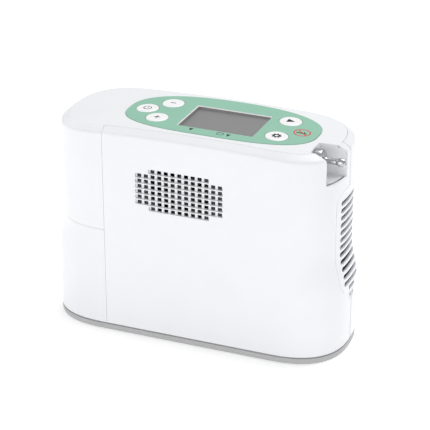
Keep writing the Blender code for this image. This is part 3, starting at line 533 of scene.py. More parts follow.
def grille_row(row):
    """Left and right ends and the height of one of the grille's level slots."""
    short = GRILLE_SHORT if row in (0, GRILLE_ROWS - 1) else 0
    reach = ((GRILLE_COLUMNS - 1) / 2 - short) * GRILLE_PITCH[0] + GRILLE_HOLE[0] / 2 + GRILLE_END
    z = GRILLE_CENTRE[1] + (row - (GRILLE_ROWS - 1) / 2) * GRILLE_PITCH[1]
    return GRILLE_CENTRE[0] - reach, GRILLE_CENTRE[0] + reach, z


def grille_outlines():
    found = []
    for row in range(GRILLE_ROWS):
        left, right, z = grille_row(row)
        size = (right - left + 2 * SEAM_ROUND, GRILLE_HOLE[1] + 2 * SEAM_ROUND)
        slot = finer(rounded_box(((left + right) / 2, z), size, GRILLE_CORNER + SEAM_ROUND), 0.006)
        found.append([(6 + x / STRAIGHT, height) for x, height in slot])
    return found


def grille_bars():
    """Upright bars behind the slots, which turn each row into a line of holes."""
    bars = []
    for i in range(GRILLE_COLUMNS + 1):
        outer = i < GRILLE_SHORT or i > GRILLE_COLUMNS - GRILLE_SHORT
        rows = (1, GRILLE_ROWS - 2) if outer else (0, GRILLE_ROWS - 1)
        x = GRILLE_CENTRE[0] + (i - GRILLE_COLUMNS / 2) * GRILLE_PITCH[0]
        half = (GRILLE_PITCH[0] - GRILLE_HOLE[0]) / 2
        low, high = (grille_row(row)[2] for row in rows)
        reach = GRILLE_HOLE[1] / 2 + 0.0006
        bars.append(block(f"grille_bar_{i + 1}", (x - half, -HALF_DEPTH + GRILLE_RECESS, low - reach),
                (x + half, -HALF_DEPTH + WALL + HAIR, high + reach), 0.0003))
    return bars


def pocket_back(x):
    return POCKET_BACK + POCKET_BACK_SLOPE * (x - POCKET_LEFT)


def pocket_window(grow):
    """The pocket's opening in the right end's wall, in s (near 8) and w."""
    front, back = [], []
    for w in spread(POCKET_FLOOR - grow, TOP_MARKS[-1] + 0.002, 24):
        reach = section(min(w, TOP_MARKS[-1]))[0]
        level = min(w, TOP_MARKS[-1])
        front.append((8 + s_at_y(POCKET_FRONT - grow, level), w))
        back.append((8 + s_at_y(pocket_back(reach) + grow, level), w))
    return front[::-1] + back


def near_pocket(point, reach=0.0016):
    """Whether a point lies on the rim of the outlet's pocket."""
    if point.x < POCKET_LEFT - reach or point.z < POCKET_FLOOR - reach:
        return False
    return POCKET_FRONT - reach < point.y < pocket_back(point.x) + reach


def casing_rounding(point):
    return LIP_ROUND if near_pocket(point) else SEAM_ROUND


def straight_down(point, normal):
    """Joints run level into the wall, and the rims round the top run straight down."""
    if normal.z > 0.5 and point.z > CROWN_HEIGHT - 0.012:
        return Vector((0, 0, -1))
    return -normal


def half_casing(name, side):
    """Front (side -1) or rear (side 1) casing: the right end's half and the long side."""
    tip = (TIGHT + SEAM_ROUND) / (HALF_DEPTH * 1.2)
    seam = (SEAM_X + EDGE) / STRAIGHT
    if side < 0:
        places = stations(6 + seam, 8 - tip)
        holes = [on_right_end(panel_outline(EDGE), 8), pocket_window(LIP_ROUND)] + grille_outlines()
    else:
        places = stations(tip, 2 - seam)
        socket = circle_at(DC_PLACE, DC_RADIUS + 2 * GAP, 32)
        holes = [on_right_end(panel_outline(EDGE)), [(s_on_rear(x, z), z) for x, z in socket]]
    patch = grid_patch(places, levels(SHELL_FOOT + SEAM_ROUND, BAND_END_W - TIGHT), holes)
    return shell(name, patch, WALL, casing_rounding, straight_down)


def top_casing():
    places = stations(2 - LEFT_SEAM, 6 + LEFT_SEAM)
    left = grid_patch(places, levels(SEAM_HEIGHT + EDGE, CREASE_W), [])
    inset = BAND_INSET + TIGHT + SEAM_ROUND
    right = [plan_point(s, END_REACH - inset, HALF_DEPTH - inset, UPPER_POWER)
            for s in stations(6 + SEAM_X / STRAIGHT, 10 - SEAM_X / STRAIGHT)]
    outline = [tuple(surface(s, CREASE_W).xy) for s in places] + right
    pocket = finer(rounded_polygon(pocket_plan(LIP_ROUND), POCKET_CORNER), 0.002)
    patch = welded(left, plan_patch(outline, [superellipse(GAP + HAIR), pocket]))
    return shell("top_casing", patch, WALL, casing_rounding, straight_down)


def pocket_plan(grow):
    left, end = POCKET_LEFT - grow, POCKET_END
    back = POCKET_BACK + grow
    return [(left, POCKET_FRONT - grow), (end, POCKET_FRONT - grow),
            (end, back + POCKET_BACK_SLOPE * (end - left)), (left, back)]


def loft(name, rings, bevel=0.0, segments=3, tube=False):
    """Closed solid through rings of points that run anticlockwise and rise. With tube, the last
    ring joins the first instead of both ends being capped."""
    count, last = len(rings[0]), len(rings) - 1
    points = [p for ring in rings for p in ring]
    faces = [] if tube else [tuple(reversed(range(count))), tuple(range(last * count, len(points)))]
    for level in range(last + tube):
        a, b = level * count, (level + 1) % len(rings) * count
        faces += [(a + i, a + (i + 1) % count, b + (i + 1) % count, b + i) for i in range(count)]
    return soften(mesh_object(name, points, faces), bevel, segments)


def crisp(obj, degrees=32):
    """Shades the edges sharper than this as edges, and the rest smooth."""
    obj.data.set_sharp_from_angle(angle=radians(degrees))
    return obj


def soften(obj, width, segments=3):
    """Rounds every edge sharper than 30 degrees, if there is a width."""
    if not width:
        return crisp(obj)
    bevel = obj.modifiers.new("rounding", "BEVEL")
    bevel.width, bevel.segments = width, segments
    bevel.limit_method, bevel.angle_limit = "ANGLE", radians(30)
    bevel.harden_normals = True
    bevel.use_clamp_overlap = True
    return obj


def block(name, low, high, bevel=0.0):
    (x0, y0, z0), (x1, y1, z1) = low, high
    ring = [(x0, y0), (x1, y0), (x1, y1), (x0, y1)]
    return loft(name, [[(x, y, z) for x, y in ring] for z in (z0, z1)], bevel)


def lathe(name, outline, placement, sides=64):
    """Turned solid about local Z, from (radius, height) pairs listed from the bottom up the outside.
    An outline that leaves the axis closes into a ring."""
    points, starts, faces = [], [], []
    for radius, height in outline:
        starts.append(len(points))
        points += [(radius * cos(a), radius * sin(a), height)
                for a in (2 * pi * i / sides for i in range(sides if radius > 0 else 1))]
    pairs = list(zip(range(len(outline)), range(1, len(outline))))
    if outline[0][0] > 0:
        pairs.append((len(outline) - 1, 0))
    for low, high in pairs:
        for i in range(sides):
            j = (i + 1) % sides
            a, b = (starts[low] + (k if outline[low][0] > 0 else 0) for k in (i, j))
            c, d = (starts[high] + (k if outline[high][0] > 0 else 0) for k in (j, i))
            faces.append(tuple(dict.fromkeys((a, b, c, d))))
    return crisp(mesh_object(name, [placement @ Vector(p) for p in points], faces), 50)


def combined(obj, tool, operation="DIFFERENCE"):
    """Applies a Boolean of the tool to the piece and removes the tool."""
    modifier = obj.modifiers.new("combine", "BOOLEAN")
    modifier.operation, modifier.object = operation, tool
    graph = bpy.context.evaluated_depsgraph_get()
    mesh = bpy.data.meshes.new_from_object(obj.evaluated_get(graph))
    obj.modifiers.clear()
    obj.data = mesh
    bpy.data.objects.remove(tool)
    return obj


def along(axis, x, y, z):
    turn = {"X": Matrix.Rotation(pi / 2, 4, "Y"), "Y": Matrix.Rotation(-pi / 2, 4, "X"),
            "Z": Matrix.Identity(4)}[axis]
    return Matrix.Translation((x, y, z)) @ turn


def inner_form(name, offset, low, high):
    """The housing's form shrunk by offset, between two heights."""
    places = stations(0, 8)[:-1]
    rings = [level_ring(places, w, offset) for w in levels(low, FLAT_TOP) if w < high]
    if high < FLAT_TOP:
        return loft(name, rings + [level_ring(places, high, offset)])
    for inset, drop in ((offset, BAND_RISE), (BAND_INSET + offset * 0.7, offset)):
        plan = [plan_point(s, END_REACH - inset, HALF_DEPTH - inset, UPPER_POWER) for s in places]
        rings.append([(x, y, CROWN_HEIGHT - drop - arch(x)) for x, y in plan])
    return loft(name, rings)


# ---- materials ----
class Graph:
    """Short way to wire shader nodes."""

    def __init__(self, name):
        self.material = bpy.data.materials.new(name)
        self.material.use_nodes = True
        self.tree = self.material.node_tree
        self.shader = self.tree.nodes["Principled BSDF"]
        self.place = self.add("ShaderNodeTexCoord").outputs["Object"]

    def add(self, kind, inputs=(), **settings):
        node = self.tree.nodes.new(kind)
        for key, value in settings.items():
            setattr(node, key, value)
        for key, value in dict(inputs).items():
            self.feed(node.inputs[key], value)
        return node

    def feed(self, socket, value):
        if isinstance(value, bpy.types.NodeSocket):
            self.tree.links.new(value, socket)
        else:
            socket.default_value = value

    def noise(self, scale, detail=3.0, roughness=0.55, stretch=None):
        where = self.place
        if stretch:
            where = self.add("ShaderNodeMapping", {"Vector": where, "Scale": stretch}).outputs["Vector"]
        inputs = {"Vector": where, "Scale": scale, "Detail": detail, "Roughness": roughness}
        return self.add("ShaderNodeTexNoise", inputs).outputs["Fac"]

    def ranged(self, value, low, high, to_low, to_high):
        inputs = {"Value": value, "From Min": low, "From Max": high, "To Min": to_low, "To Max": to_high}
        return self.add("ShaderNodeMapRange", inputs).outputs["Result"]

    def mixed(self, share, one, two):
        inputs = {"Factor": share, "A": one, "B": two}
        return self.add("ShaderNodeMix", inputs, data_type="RGBA").outputs["Result"]

    def maths(self, operation, one, two):
        return self.add("ShaderNodeMath", {0: one, 1: two}, operation=operation).outputs[0]


def tint(colour, factor):
    return tuple(min(c * factor, 1.0) for c in colour) + (1.0,)


def procedural(name, colour, roughness, metallic=0.0, mottle=0.04, cloud=35, grain=2600, depth=20,
        worn=None, wear=0.5, sockets=(), brushed=None):
    """A finish whose colour, roughness and relief vary, with edges that wear to another tone. Cloud and
    grain are the scales of the large and the fine noise, and depth is its relief in microns."""
    g = Graph(name)
    clouds = g.noise(cloud, 4.0)
    fine = g.noise(grain, 2.0, stretch=brushed)
    smudge = g.noise(cloud * 2.7, 5.0, 0.65)
    base = g.mixed(g.ranged(clouds, 0.35, 0.65, 0.0, 1.0), tint(colour, 1 - mottle), tint(colour, 1 + mottle))
    edge = g.ranged(g.add("ShaderNodeNewGeometry").outputs["Pointiness"], 0.515, 0.58, 0.0, wear)
    patchy = g.maths("MULTIPLY", edge, g.ranged(smudge, 0.35, 0.6, 0.2, 1.0))
    base = g.mixed(patchy, base, (*(worn or colour), 1.0))
    dusty = g.maths("ADD", g.ranged(smudge, 0.3, 0.7, roughness * 0.88, roughness * 1.15),
            g.ranged(fine, 0.3, 0.7, -0.03, 0.03))
    relief = g.add("ShaderNodeBump", {"Height": fine, "Strength": 0.6, "Distance": depth * 1e-6})
    soft = g.add("ShaderNodeBump", {"Height": clouds, "Strength": 0.25, "Distance": depth * 4e-6,
            "Normal": relief.outputs["Normal"]})
    g.feed(g.shader.inputs["Base Color"], base)
    g.feed(g.shader.inputs["Roughness"], dusty)
    g.feed(g.shader.inputs["Normal"], soft.outputs["Normal"])
    g.shader.inputs["Metallic"].default_value = metallic
    for key, value in dict(sockets).items():
        g.shader.inputs[key].default_value = value
    return g.material


FINISHES = {
    "white_plastic": procedural("white_casing", (0.79, 0.8, 0.82), 0.36, mottle=0.008, grain=2200,
        depth=12, worn=(0.84, 0.84, 0.85)),
    "key_white": procedural("key_white", (0.84, 0.84, 0.85), 0.34, mottle=0.01, grain=3500, depth=8,
        worn=(0.9, 0.9, 0.9)),
    "grey_plastic": procedural("grey_plastic", (0.43, 0.43, 0.435), 0.55, mottle=0.03, grain=1800,
        depth=30, worn=(0.5, 0.5, 0.51)),
    "green_film": procedural("green_film", (0.245, 0.485, 0.365), 0.48, mottle=0.015, grain=4200, depth=10,
        wear=0.0),
    "screen_grey": procedural("screen_grey", (0.208, 0.208, 0.208), 0.4, mottle=0.015, cloud=60, grain=5000,
        depth=3, wear=0.0),
    "black_plastic": procedural("black_plastic", (0.035, 0.035, 0.038), 0.5, mottle=0.08, grain=1800,
        depth=30, worn=(0.09, 0.09, 0.095)),
    "black_rubber": procedural("black_rubber", (0.045, 0.045, 0.047), 0.82, mottle=0.1, grain=1500,
        depth=60, worn=(0.1, 0.1, 0.1)),
    "foam": procedural("filter_foam", (0.1, 0.1, 0.11), 0.95, mottle=0.3, cloud=900, grain=900,
        depth=500, worn=(0.16, 0.16, 0.17)),
    "chrome": procedural("chrome", (0.48, 0.49, 0.505), 0.22, 1.0, mottle=0.02, grain=900, depth=2,
        worn=(0.54, 0.54, 0.55), wear=0.3),
    "steel": procedural("steel", (0.55, 0.55, 0.57), 0.3, 1.0, mottle=0.06, grain=700, depth=10,
        worn=(0.75, 0.75, 0.76), brushed=(1, 1, 6)),
    "aluminium": procedural("aluminium", (0.68, 0.69, 0.71), 0.36, 1.0, mottle=0.05, grain=1500,
        depth=20, worn=(0.82, 0.82, 0.83), brushed=(1, 5, 1)),
    "board_green": procedural("circuit_board", (0.02, 0.17, 0.08), 0.45, mottle=0.2, cloud=420, grain=1200,
        depth=40, worn=(0.35, 0.33, 0.16)),
    "cell_sleeve": procedural("cell_sleeve", (0.05, 0.22, 0.44), 0.36, mottle=0.05, grain=900,
        depth=30, worn=(0.1, 0.32, 0.56)),
    "clear_tube": procedural("clear_tube", (0.8, 0.84, 0.86), 0.22, mottle=0.02, grain=900, depth=10,
        sockets={"Transmission Weight": 0.6, "IOR": 1.43}),
    "blue_plastic": procedural("blue_plastic", (0.06, 0.16, 0.42), 0.42, mottle=0.05, grain=1600,
        depth=20, worn=(0.16, 0.28, 0.55)),
}
PRINT_DARK = procedural("dark_print", (0.02, 0.02, 0.024), 0.6, mottle=0.08, depth=10, wear=0.0,
        sockets={"Specular IOR Level": 0.2})
PRINT_RED = procedural("red_print", (0.62, 0.045, 0.04), 0.6, mottle=0.05, depth=10, wear=0.0,
        sockets={"Specular IOR Level": 0.2})

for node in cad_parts.values():
    for i, used in enumerate(node.data.materials):
        node.data.materials[i] = FINISHES.get(used.name.split(".")[0], FINISHES["white_plastic"])
    soften(node, INNER_ROUNDING, 2)


# ---- casings in place ----
def latch_eye(casing, side):
    """Blind recess for the vent panel's snap, with a dark pad on its floor that is painted shade in the
    recess.
    """
    (y0, y1), (z0, z1) = LATCH_EYES[side], LATCH_HEIGHTS
    floor = BASE_REACH - LATCH_DEPTH
    combined(casing, block("tool", (floor, y0, z0), (FAR, y1, z1)))
    # the dark rubber pad is painted shade: it makes the recess darker than its own shading would
    painted_shade_pad = block(f"latch_painted_shade_pad_{side}", (floor - 3 * HAIR, y0 + HAIR, z0 + HAIR),
            (floor + 6 * HAIR, y1 - HAIR, z1 - HAIR), 2 * HAIR)
    place_piece(painted_shade_pad, "unit", "black_rubber")
    return crisp(casing)


place_piece(latch_eye(half_casing("front_casing", -1), "front"), "unit", "white_plastic", "front_shell")
for bar_piece in grille_bars():
    place_piece(bar_piece, "unit", "white_plastic")
place_piece(latch_eye(half_casing("rear_casing", 1), "rear"), "unit", "white_plastic", "rear_shell")
place_piece(top_casing(), "unit", "white_plastic", "top_cover")


def side_vent():
    widths = [SLOT_HALF_WIDTH] * SLOT_COUNT + [SHORT_SLOT_HALF_WIDTH]
    heights = [SLOT_TOP - SLOT_PITCH * i for i in range(SLOT_COUNT + 1)]
    slots = [finer(slot_outline(z, half, SLOT_LIP), 0.0025) for z, half in zip(heights, widths)]
    border = on_right_end(panel_outline(-EDGE))
    region = Region(border)
    patch = grid_patch(spread(-0.75, 0.75, 48), levels(VENT_SPAN[0] - 0.001, VENT_SPAN[1] + 0.001),
            [on_right_end(slot) for slot in slots],
            keep=lambda s, w: region.holds((s, w)), guides=[border + border[:1]])

    def rounding(point):
        near = min(abs(point.z - z) for z in heights) < SLOT_HEIGHT
        return SLOT_LIP if near and abs(point.y) < SLOT_HALF_WIDTH + 2 * SLOT_LIP else SEAM_ROUND

    return shell("vent_panel", patch, VENT_THICKNESS, rounding)


place_piece(side_vent(), "inlet_cover", "white_plastic", "side_vent")


# ---- base ----
def upright(node):
    """Placement on the ground under a round node, and the node's radius."""
    low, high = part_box(node)
    centre = (low + high) / 2
    return along("Z", centre.x, centre.y, 0), (high.x - low.x) / 2


def base():
    """Tray with rounded lower and upper edges, and a groove between it and the casings."""
    places = stations(0, 8)[:-1]

    def form(name, steps):
        return loft(name, [[(*plan_point(s, BASE_REACH - inset, HALF_DEPTH - inset, LOWER_POWER), z)
                for s in places] for inset, z in steps])

    plate = form("base_tray", [
        (0.0014, 0.0), (0.0006, 0.00012), (0.0002, 0.0005), (0.0, 0.0011), (0.0, 0.0041),
        (0.00008, 0.0043), (0.0003, 0.0044), (0.001, 0.00445), (0.0011, 0.0052)])
    combined(plate, form("tool", [(0.0046, 0.0026), (0.004, 0.0032), (0.004, 0.02)]))
    for i in range(1, 5):
        for node, deep in ((f"foot_{i}", 0.0011), (f"base_screw_{i}", 0.0015)):
            place, radius = upright(node)
            radius += GAP
            well = [(0.0, -0.001), (radius + 0.0005, -0.001), (radius + 0.0005, 0.0), (radius, 0.0004),
                    (radius, deep), (0.0, deep)]
            combined(plate, lathe("tool", well, place, 48))
    return crisp(plate)


place_piece(base(), "unit", "grey_plastic", "base_plate")


def foot(node):
    place, radius = upright(node)
    groove = 0.00025              # depth of the grip grooves in the sole
    sole = [(0.0, groove), (0.0018, groove), (0.0021, 0.0), (0.0026, 0.0), (0.0029, groove),
            (0.0036, groove), (0.0039, 0.0), (0.0044, 0.0), (0.0047, groove), (0.0051, groove),
            (radius - 0.0005, 0.0), (radius, 0.0003), (radius, 0.001), (0.0, 0.001)]
    return lathe(node + "_pad", rounded(sole, 0.0002, 3), place)


def screw(node):
    place, radius = upright(node)
    turns = 16
    outline = [(0.0, 0.0002), (radius - 0.0006, 0.0002), (radius, 0.0006), (radius, 0.0012),
            (0.0014, 0.0013)]
    for i in range(turns):
        z = 0.0016 + 0.0005 * i
        outline += [(0.0012, z), (0.0014, z + 0.00025)]
    obj = lathe(node + "_turned", outline + [(0.0008, 0.0099), (0.0, 0.01)], place, 32)
    for turn in (0, pi / 2):
        arm = block("tool", (-0.0015, -0.0003, -0.001), (0.0015, 0.0003, 0.0009))
        arm.data.transform(place @ Matrix.Rotation(turn + 0.4, 4, "Z"))
        combined(obj, arm)
    return crisp(obj, 40)


for i in range(1, 5):
    place_piece(foot(f"foot_{i}"), "unit", "black_rubber", f"foot_{i}")
    place_piece(screw(f"base_screw_{i}"), "unit", "steel", f"base_screw_{i}")


# ---- battery ----
def catch_cap(grow):
    """Half width, half height and middle height of the catch's cap, larger by grow."""
    low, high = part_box("battery_release")
    edge = grow - CATCH_BORDER
    return high.y + edge, (high.z - low.z) / 2 + edge, (high.z + low.z) / 2


def battery_skin():
    half_y, half_z, middle = catch_cap(GAP)
    size = (2 * (half_y + CATCH_LIP), 2 * (half_z + CATCH_LIP))
    window = finer(rounded_box((0.0, middle), size, CATCH_CORNER), 0.003)
    patch = grid_patch(stations(2 - LEFT_SEAM, 6 + LEFT_SEAM),
            levels(SHELL_FOOT + SEAM_ROUND, SEAM_HEIGHT - EDGE),
            [[(s_on_left(y, z), z) for y, z in window]])

    def rounding(point):
        margin = 3 * CATCH_LIP
        near = abs(point.y) < half_y + margin and abs(point.z - middle) < half_z + margin
        return CATCH_LIP if near and point.x < -0.09 else SEAM_ROUND

    return shell("battery_skin", patch, PACK_WALL, rounding)


def end_slab(name, low, high):
    """Slab across the left end between two heights, set in from the skin."""
    slab = inner_form(name, PACK_WALL / 2, low, high)
    combined(slab, block("tool", (PACK_FACE, -FAR, -FAR), (FAR, FAR, FAR)))
    return soften(slab, 0.0003)


def battery_frame():
    """Lid, floor, inner face and plug-in tongue of the pack."""
    top = SEAM_HEIGHT - GAP / 2 - HAIR
    lid = end_slab("battery_lid", top - PACK_WALL, top)
    floor = end_slab("battery_floor", SHELL_FOOT + HAIR, 0.008)
    half = HALF_DEPTH - 0.0012
    face = block("battery_face", (PACK_FACE - 0.0018, -half, SHELL_FOOT + 2 * HAIR),
            (PACK_FACE, half, top - HAIR), 0.0004)
    low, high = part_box("battery_contacts")
    end, (foot_z, top_z) = low.x + 0.0012, TONGUE_HEIGHTS
    tongue = block("battery_tongue", (PACK_FACE - 0.001, -TONGUE_HALF, foot_z),
            (end, TONGUE_HALF, top_z))
    inner = TONGUE_HALF - TONGUE_WALL
    cuts = [((TONGUE_ROOT, -inner, foot_z + TONGUE_WALL), (end - TONGUE_WALL, inner, top_z - TONGUE_WALL)),
            ((end - 0.01, low.y - GAP, low.z - GAP), (end + 0.01, high.y + GAP, high.z + GAP))]
    for z in GROOVES:
        for y in (-TONGUE_HALF, TONGUE_HALF):
            cuts.append(((GROOVE_START, y - 0.0006, z), (end + 0.01, y + 0.0006, z + GROOVE_WIDTH)))
    for cut in cuts:
        combined(tongue, block("tool", *cut))
    return [lid, floor, face, soften(tongue, 0.0005)]


place_piece(battery_skin(), "battery", "white_plastic", "battery_case")
for piece in battery_frame():
    place_piece(piece, "battery", "white_plastic")


def release_button():
    """Ribbed cap of the battery's catch, and the flange behind it."""
    low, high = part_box("battery_release")
    half_y, half_z, middle = catch_cap(0)
    outline = rounded_box((0.0, middle), (2 * half_y, 2 * half_z), CATCH_CORNER, 6)[::-1]
    rings = []
    for inset, x in ((0.001, low.x), (0.0004, low.x + 0.0002), (0.0, low.x + 0.0006), (0.0, high.x)):
        rings.append([(x, y * (1 - inset / half_y), middle + (z - middle) * (1 - inset / half_z))
                for y, z in outline])
    cap = loft("release_button", rings)
    for y in spread(-0.0064, 0.0064, 4):
        combined(cap, block("tool", (low.x - 0.001, y - 0.0005, middle - half_z * 0.6),
                (low.x + 0.0005, y + 0.0005, middle + half_z * 0.6)))
    back, front = CATCH_FLANGE
    flange = block("release_flange", (back, low.y, low.z), (front, high.y, high.z), 0.0004)
    return [crisp(cap), flange]


cap_piece, flange_piece = release_button()
place_piece(cap_piece, "battery_catch", "grey_plastic", "battery_release")
place_piece(flange_piece, "battery_catch", "grey_plastic")


# ---- outlet ----
def outlet_well():
    """Liner of the outlet's pocket, trimmed to the housing's form, with a hole for the nozzle."""
    def ring(grow, height, radius=POCKET_CORNER):
        return [(x, y, height) for x, y in rounded_polygon(pocket_plan(grow), radius)]

    well = loft("pocket_liner", [ring(LINER, z, 0.0022) for z in (POCKET_FLOOR - LINER, 0.17)])
    combined(well, inner_form("tool", WALL * 0.6, 0.1, 0.2), "INTERSECT")
    steps = ((-0.0006, 0.0), (-0.0002, 0.00025), (0.00004, 0.0008), (0.00004, 0.18 - POCKET_FLOOR))
    combined(well, loft("tool", [ring(grow, POCKET_FLOOR + rise) for grow, rise in steps]))
    bore = [(0.0, 0.0), (0.0026, 0.0), (0.0026, 0.02), (0.0, 0.02)]
    combined(well, lathe("tool", bore, along("X", 0.075, *NOZZLE_AXIS), 32))
    return crisp(well)


def nozzle():
    """Flange, collar, stem and barb turned in one piece, with the bore's mouth at the tip."""
    low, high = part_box("outlet_nozzle")
    start, tip, flange, collar, barb = low.x, high.x, POCKET_LEFT + GAP, NOZZLE_COLLAR, NOZZLE_BARB
    big, bore = (high.z - low.z) / 2, 0.0012
    outline = [
        (bore, start), (0.0022, start), (0.0022, flange), (big - 0.0004, flange), (big, flange + 0.0005),
        (big, collar - 0.0012), (big - 0.0012, collar), (0.0032, collar + 0.0002),
        (0.0023, collar + 0.0009), (0.0021, collar + 0.002), (0.0021, barb - 0.001),
        (0.0028, barb + 0.0006), (0.0031, barb + 0.0024), (0.0029, barb + 0.0042), (0.0022, tip - 0.0002),
        (0.0018, tip), (0.0014, tip - 0.0002), (bore, tip - 0.0006),
    ]
    place = along("X", 0.0, *NOZZLE_AXIS)
    return lathe("outlet_barb", rounded(outline, 0.0004, 3), place, 96)


place_piece(outlet_well(), "unit", "white_plastic", "outlet_well")
place_piece(nozzle(), "unit", "chrome", "outlet_nozzle")


# ---- control panel ----
def panel_holes(grow, corner):
    """Round holes for the keys and a box for the screen, larger by grow."""
    holes = [circle_at(centre, KEY_HOLE + grow) for centre in KEYS.values()]
    return holes + [screen_box(grow, corner)]


def screen_box(grow, corner):
    """Outline of the screen's opening, larger by grow."""
    return rounded_box(SCREEN_CENTRE, [side + 2 * grow for side in SCREEN_SIZE], corner)


def overlay():
    patch = plan_patch(superellipse(-HAIR, 128), panel_holes(HAIR, 0.001), FILM_RISE)
    return shell("panel_film", patch, 0.0008, lambda p: HAIR)


def panel_floor():
    """Bed of the panel under the film, part of the top casing."""
    holes = panel_holes(2 * HAIR, 0.0008)
    holes[:-1] = [circle_at(centre, KEY_HOLE + 4 * HAIR) for centre in KEYS.values()]
    patch = plan_patch(superellipse(0.0012, 128), holes, -0.0006)
    return shell("panel_bed", patch, 0.0016, lambda p: HAIR)


def screen_ring(name, steps, bevel):
    """Ring round the screen through (inset, corner, height, whether it follows the arch) steps."""
    rings = [[(x, y, height - arch(x) * arched) for x, y in screen_box(-inset, corner)]
            for inset, corner, height, arched in steps]
    return loft(name, rings, bevel, 2, tube=True)


def screen_frame_painted_shade():
    """Sloping surround between the film and the glass, in the screen's dark grey, which also paints the shade
    on the recess walls.
    """
    top, low = 0.1582, 0.156
    return screen_ring("screen_frame_painted_shade", [(0.0, 0.001, low, 0), (0.0, 0.001, top, 1),
            (0.0007, 0.0008, top, 1), (0.0013, 0.0006, low, 0)], 0.00015)


def screen_painted_highlight():
    """White chamfered trim on the rim of the screen's opening, a painted highlight along its edge."""
    top = CROWN_HEIGHT + FILM_RISE
    return screen_ring("screen_painted_highlight", [(0.00005, 0.001, top - 0.0008, 1), (0.00005, 0.001, top, 1),
            (0.0001, 0.001, top, 1), (0.0006, 0.0008, top - 0.0007, 1)], 0.00004)


def screen_glass():
    (cx, cy), (half_x, half_y) = SCREEN_CENTRE, (side / 2 - 0.0008 for side in SCREEN_SIZE)
    low, high = (cx - half_x, cy - half_y, 0.1554), (cx + half_x, cy + half_y, 0.1563)
    return block("screen_glass", low, high, 0.0002)


place_piece(overlay(), "unit", "green_film", "control_overlay")
place_piece(panel_floor(), "unit", "white_plastic")
# dark grey surround: the screen's frame, and painted shade on the recess walls
place_piece(screen_frame_painted_shade(), "unit", "screen_grey")
# white trim round the screen's opening: painted highlight
place_piece(screen_painted_highlight(), "unit", "key_white")
place_piece(screen_glass(), "unit", "screen_grey", "lcd_window")


def key(node):
    """Key with its stem and flange under the film, and a slightly dished top."""
    x, y = KEYS[node]
    dome = [(KEY_RADIUS - 0.0006 - 0.0002 * k, KEY_RISE - 0.00015 + 0.00003 * k) for k in range(1, 4)]
    outline = [
        (0.0, STEM_FOOT), (STEM_RADIUS, STEM_FOOT), (STEM_RADIUS, FLANGE_FOOT), (FLANGE_RADIUS, FLANGE_FOOT),
        (FLANGE_RADIUS, FLANGE_TOP), (KEY_RADIUS, FLANGE_TOP), (KEY_RADIUS, 0.0002),
        (KEY_RADIUS - 0.0004, KEY_RISE - 0.0003), *dome, (KEY_RADIUS - 0.0016, KEY_RISE - 0.00002),
        (0.0055, KEY_RISE - 0.00008), (0.0, KEY_RISE - 0.0002)]
    tilt = Matrix.Rotation(atan(x / CROWN_RADIUS), 4, "Y")
    return lathe(node + "_cap", outline, Matrix.Translation(crown(x, y)) @ tilt, 72)


def stroke_arc(radius, width, start, end):
    """Outline of an open arc of this stroke width, between two angles in degrees."""
    start, end = radians(start), radians(end)
    outer, inner = (arc((0.0, 0.0), radius + half, start, end, 30) for half in (width / 2, -width / 2))
    return outer + inner[::-1]


def bar(length, width, degrees=0.0, centre=(0.0, 0.0)):
    c, s = cos(radians(degrees)), sin(radians(degrees))
    x, y = length / 2, width / 2
    return [(centre[0] + u * c - v * s, centre[1] + u * s + v * c)
            for u, v in ((x, y), (-x, y), (-x, -y), (x, -y))]


def cross(reach, half):
    corner = [(reach, half), (half, half), (half, reach)]
    points = []
    for turn in range(4):
        c, s = round(cos(turn * pi / 2)), round(sin(turn * pi / 2))
        points += [(x * c - y * s, x * s + y * c) for x, y in corner]
    return points


def gear(outer, root, teeth=8):
    points = []
    for i in range(teeth):
        for share, radius in ((-0.3, root), (-0.2, outer), (0.2, outer), (0.3, root)):
            angle = 2 * pi * (i + share) / teeth
            points.append((radius * cos(angle), radius * sin(angle)))
    return points


def symbol(name, shapes, centre, lift, body, finish):
    """Thin printed shapes that follow the top's arch. Each is an outline with its holes."""
    for i, (outline, holes) in enumerate(shapes):
        moved = [[(centre[0] + x, centre[1] + y) for x, y in loop] for loop in [outline, *holes]]
        patch = plan_patch(moved[0], moved[1:], lift, 0.02)
        piece = shell(f"{name}_{i + 1}", patch, 0.00008, lambda p: 0.00003, steps=2)
        place_piece(piece, body, "black_plastic", finish=finish)


for node in KEYS:
    place_piece(key(node), node, "key_white", node)

ON_KEY, ON_FILM, ON_PRINT = 0.00072, 0.00033, 0.00036  # heights of the prints' faces over the crown
STROKE = 0.0007
MIDDLE = (0.0, 0.0)
KEY_SYMBOLS = {
    "button_power": [(stroke_arc(0.0027, 0.0006, 125, 415), []),
        (bar(0.003, 0.0006, 90, (0.0, 0.002)), [])],
    "button_minus": [(bar(0.0042, STROKE), [])],
    "button_plus": [(cross(0.0022, STROKE / 2), [])],
    "button_alarm": [([(-0.0024, -0.0029), (0.0031, 0.0), (-0.0024, 0.0029)], [])],
    "button_settings": [(gear(0.0035, 0.0027), [circle_at(MIDDLE, 0.0013)])],
}
for node, shapes in KEY_SYMBOLS.items():
    symbol(node + "_sign", shapes, KEYS[node], ON_KEY, node, PRINT_DARK)

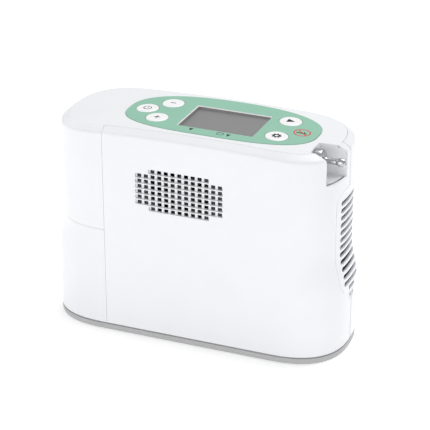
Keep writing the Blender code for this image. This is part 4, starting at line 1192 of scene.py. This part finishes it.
SIGN_AT, SIGN_RADIUS, SIGN_STROKE = (0.0709, -0.001), 0.006, 0.0008
symbol("no_smoking_ring", [(circle_at(MIDDLE, SIGN_RADIUS), [circle_at(MIDDLE, SIGN_RADIUS - SIGN_STROKE)]),
        (bar(2 * SIGN_RADIUS - 0.0012, SIGN_STROKE, -45), [])],
       SIGN_AT, ON_PRINT, "unit", PRINT_RED)
symbol("cigarette", [(bar(0.0074, 0.0013, 0, (-0.0002, -0.0008)), []),
        (stroke_arc(0.0018, 0.0005, -20, 80), [])],
       SIGN_AT, ON_FILM, "unit", PRINT_DARK)
for i, spot in enumerate(((-0.0006, -0.0273), (0.0269, -0.0279)), 1):
    symbol(f"pointer_{i}", [([(0.0015, 0.002), (-0.0015, 0.002), (0.0, -0.0022)], [])], spot, ON_FILM,
           "unit", PRINT_DARK)
bag, bag_inside = (rounded_box(MIDDLE, size, radius)
        for size, radius in (((0.005, 0.004), 0.0014), ((0.0042, 0.0032), 0.0011)))
symbol("bag_sign", [(bag, [bag_inside])], (0.021, -0.0272), ON_FILM, "unit", PRINT_DARK)


# ---- studio ----
CAMERA_PLACE, LENS = (0.40677, -1.00018, 0.58382), 139.14
CAMERA_RIGHT, CAMERA_UP = (0.92832, 0.37178, 0.00041), (-0.15685, 0.39065, 0.90708)
CAMERA_BACK = (0.33707, -0.84213, 0.42096)
LIGHTS = {  # place, size and watts of each soft light
    "key_light": ((-0.5, -1.8, 0.35), 1.2, 10.5),
    "side_light": ((1.9, -0.4, 0.55), 1.0, 4),
    "left_light": ((-1.8, 0.2, 1.0), 1.0, 4),
    "top_light": ((0.3, 0.8, 1.85), 1.2, 22),
}
LIT_POINT = Vector((0, 0, 0.08))


def linked(name, data):
    obj = bpy.data.objects.new(name, data)
    bpy.context.scene.collection.objects.link(obj)
    return obj


def studio():
    scene = bpy.context.scene
    camera = linked("camera", bpy.data.cameras.new("camera"))
    rows = zip(CAMERA_RIGHT, CAMERA_UP, CAMERA_BACK, CAMERA_PLACE)
    camera.matrix_world = Matrix((*rows, (0, 0, 0, 1)))
    camera.data.lens, camera.data.sensor_width = LENS, 36
    scene.camera = camera
    world = bpy.data.worlds.new("studio")
    world.use_nodes = True
    sky = world.node_tree.nodes["Background"]
    sky.inputs["Color"].default_value, sky.inputs["Strength"].default_value = (1, 1, 1, 1), 0.57
    scene.world = world
    bpy.ops.mesh.primitive_plane_add(size=12, location=(0, 0, -HAIR))
    floor = bpy.context.object
    floor.name = "floor"
    glow = {"Emission Color": (1, 1, 1, 1), "Emission Strength": 0.3}
    floor.data.materials.append(procedural("floor", (0.95, 0.95, 0.95), 0.8, mottle=0.002, cloud=4,
            grain=300, depth=10, wear=0.0, sockets=glow))
    for name, (place, size, watts) in LIGHTS.items():
        lamp = linked(name, bpy.data.lights.new(name, "AREA"))
        lamp.data.energy, lamp.data.size, lamp.location = watts, size, place
        lamp.rotation_euler = (LIT_POINT - Vector(place)).to_track_quat("-Z", "Y").to_euler()
    scene.view_settings.view_transform = "Standard"


studio()
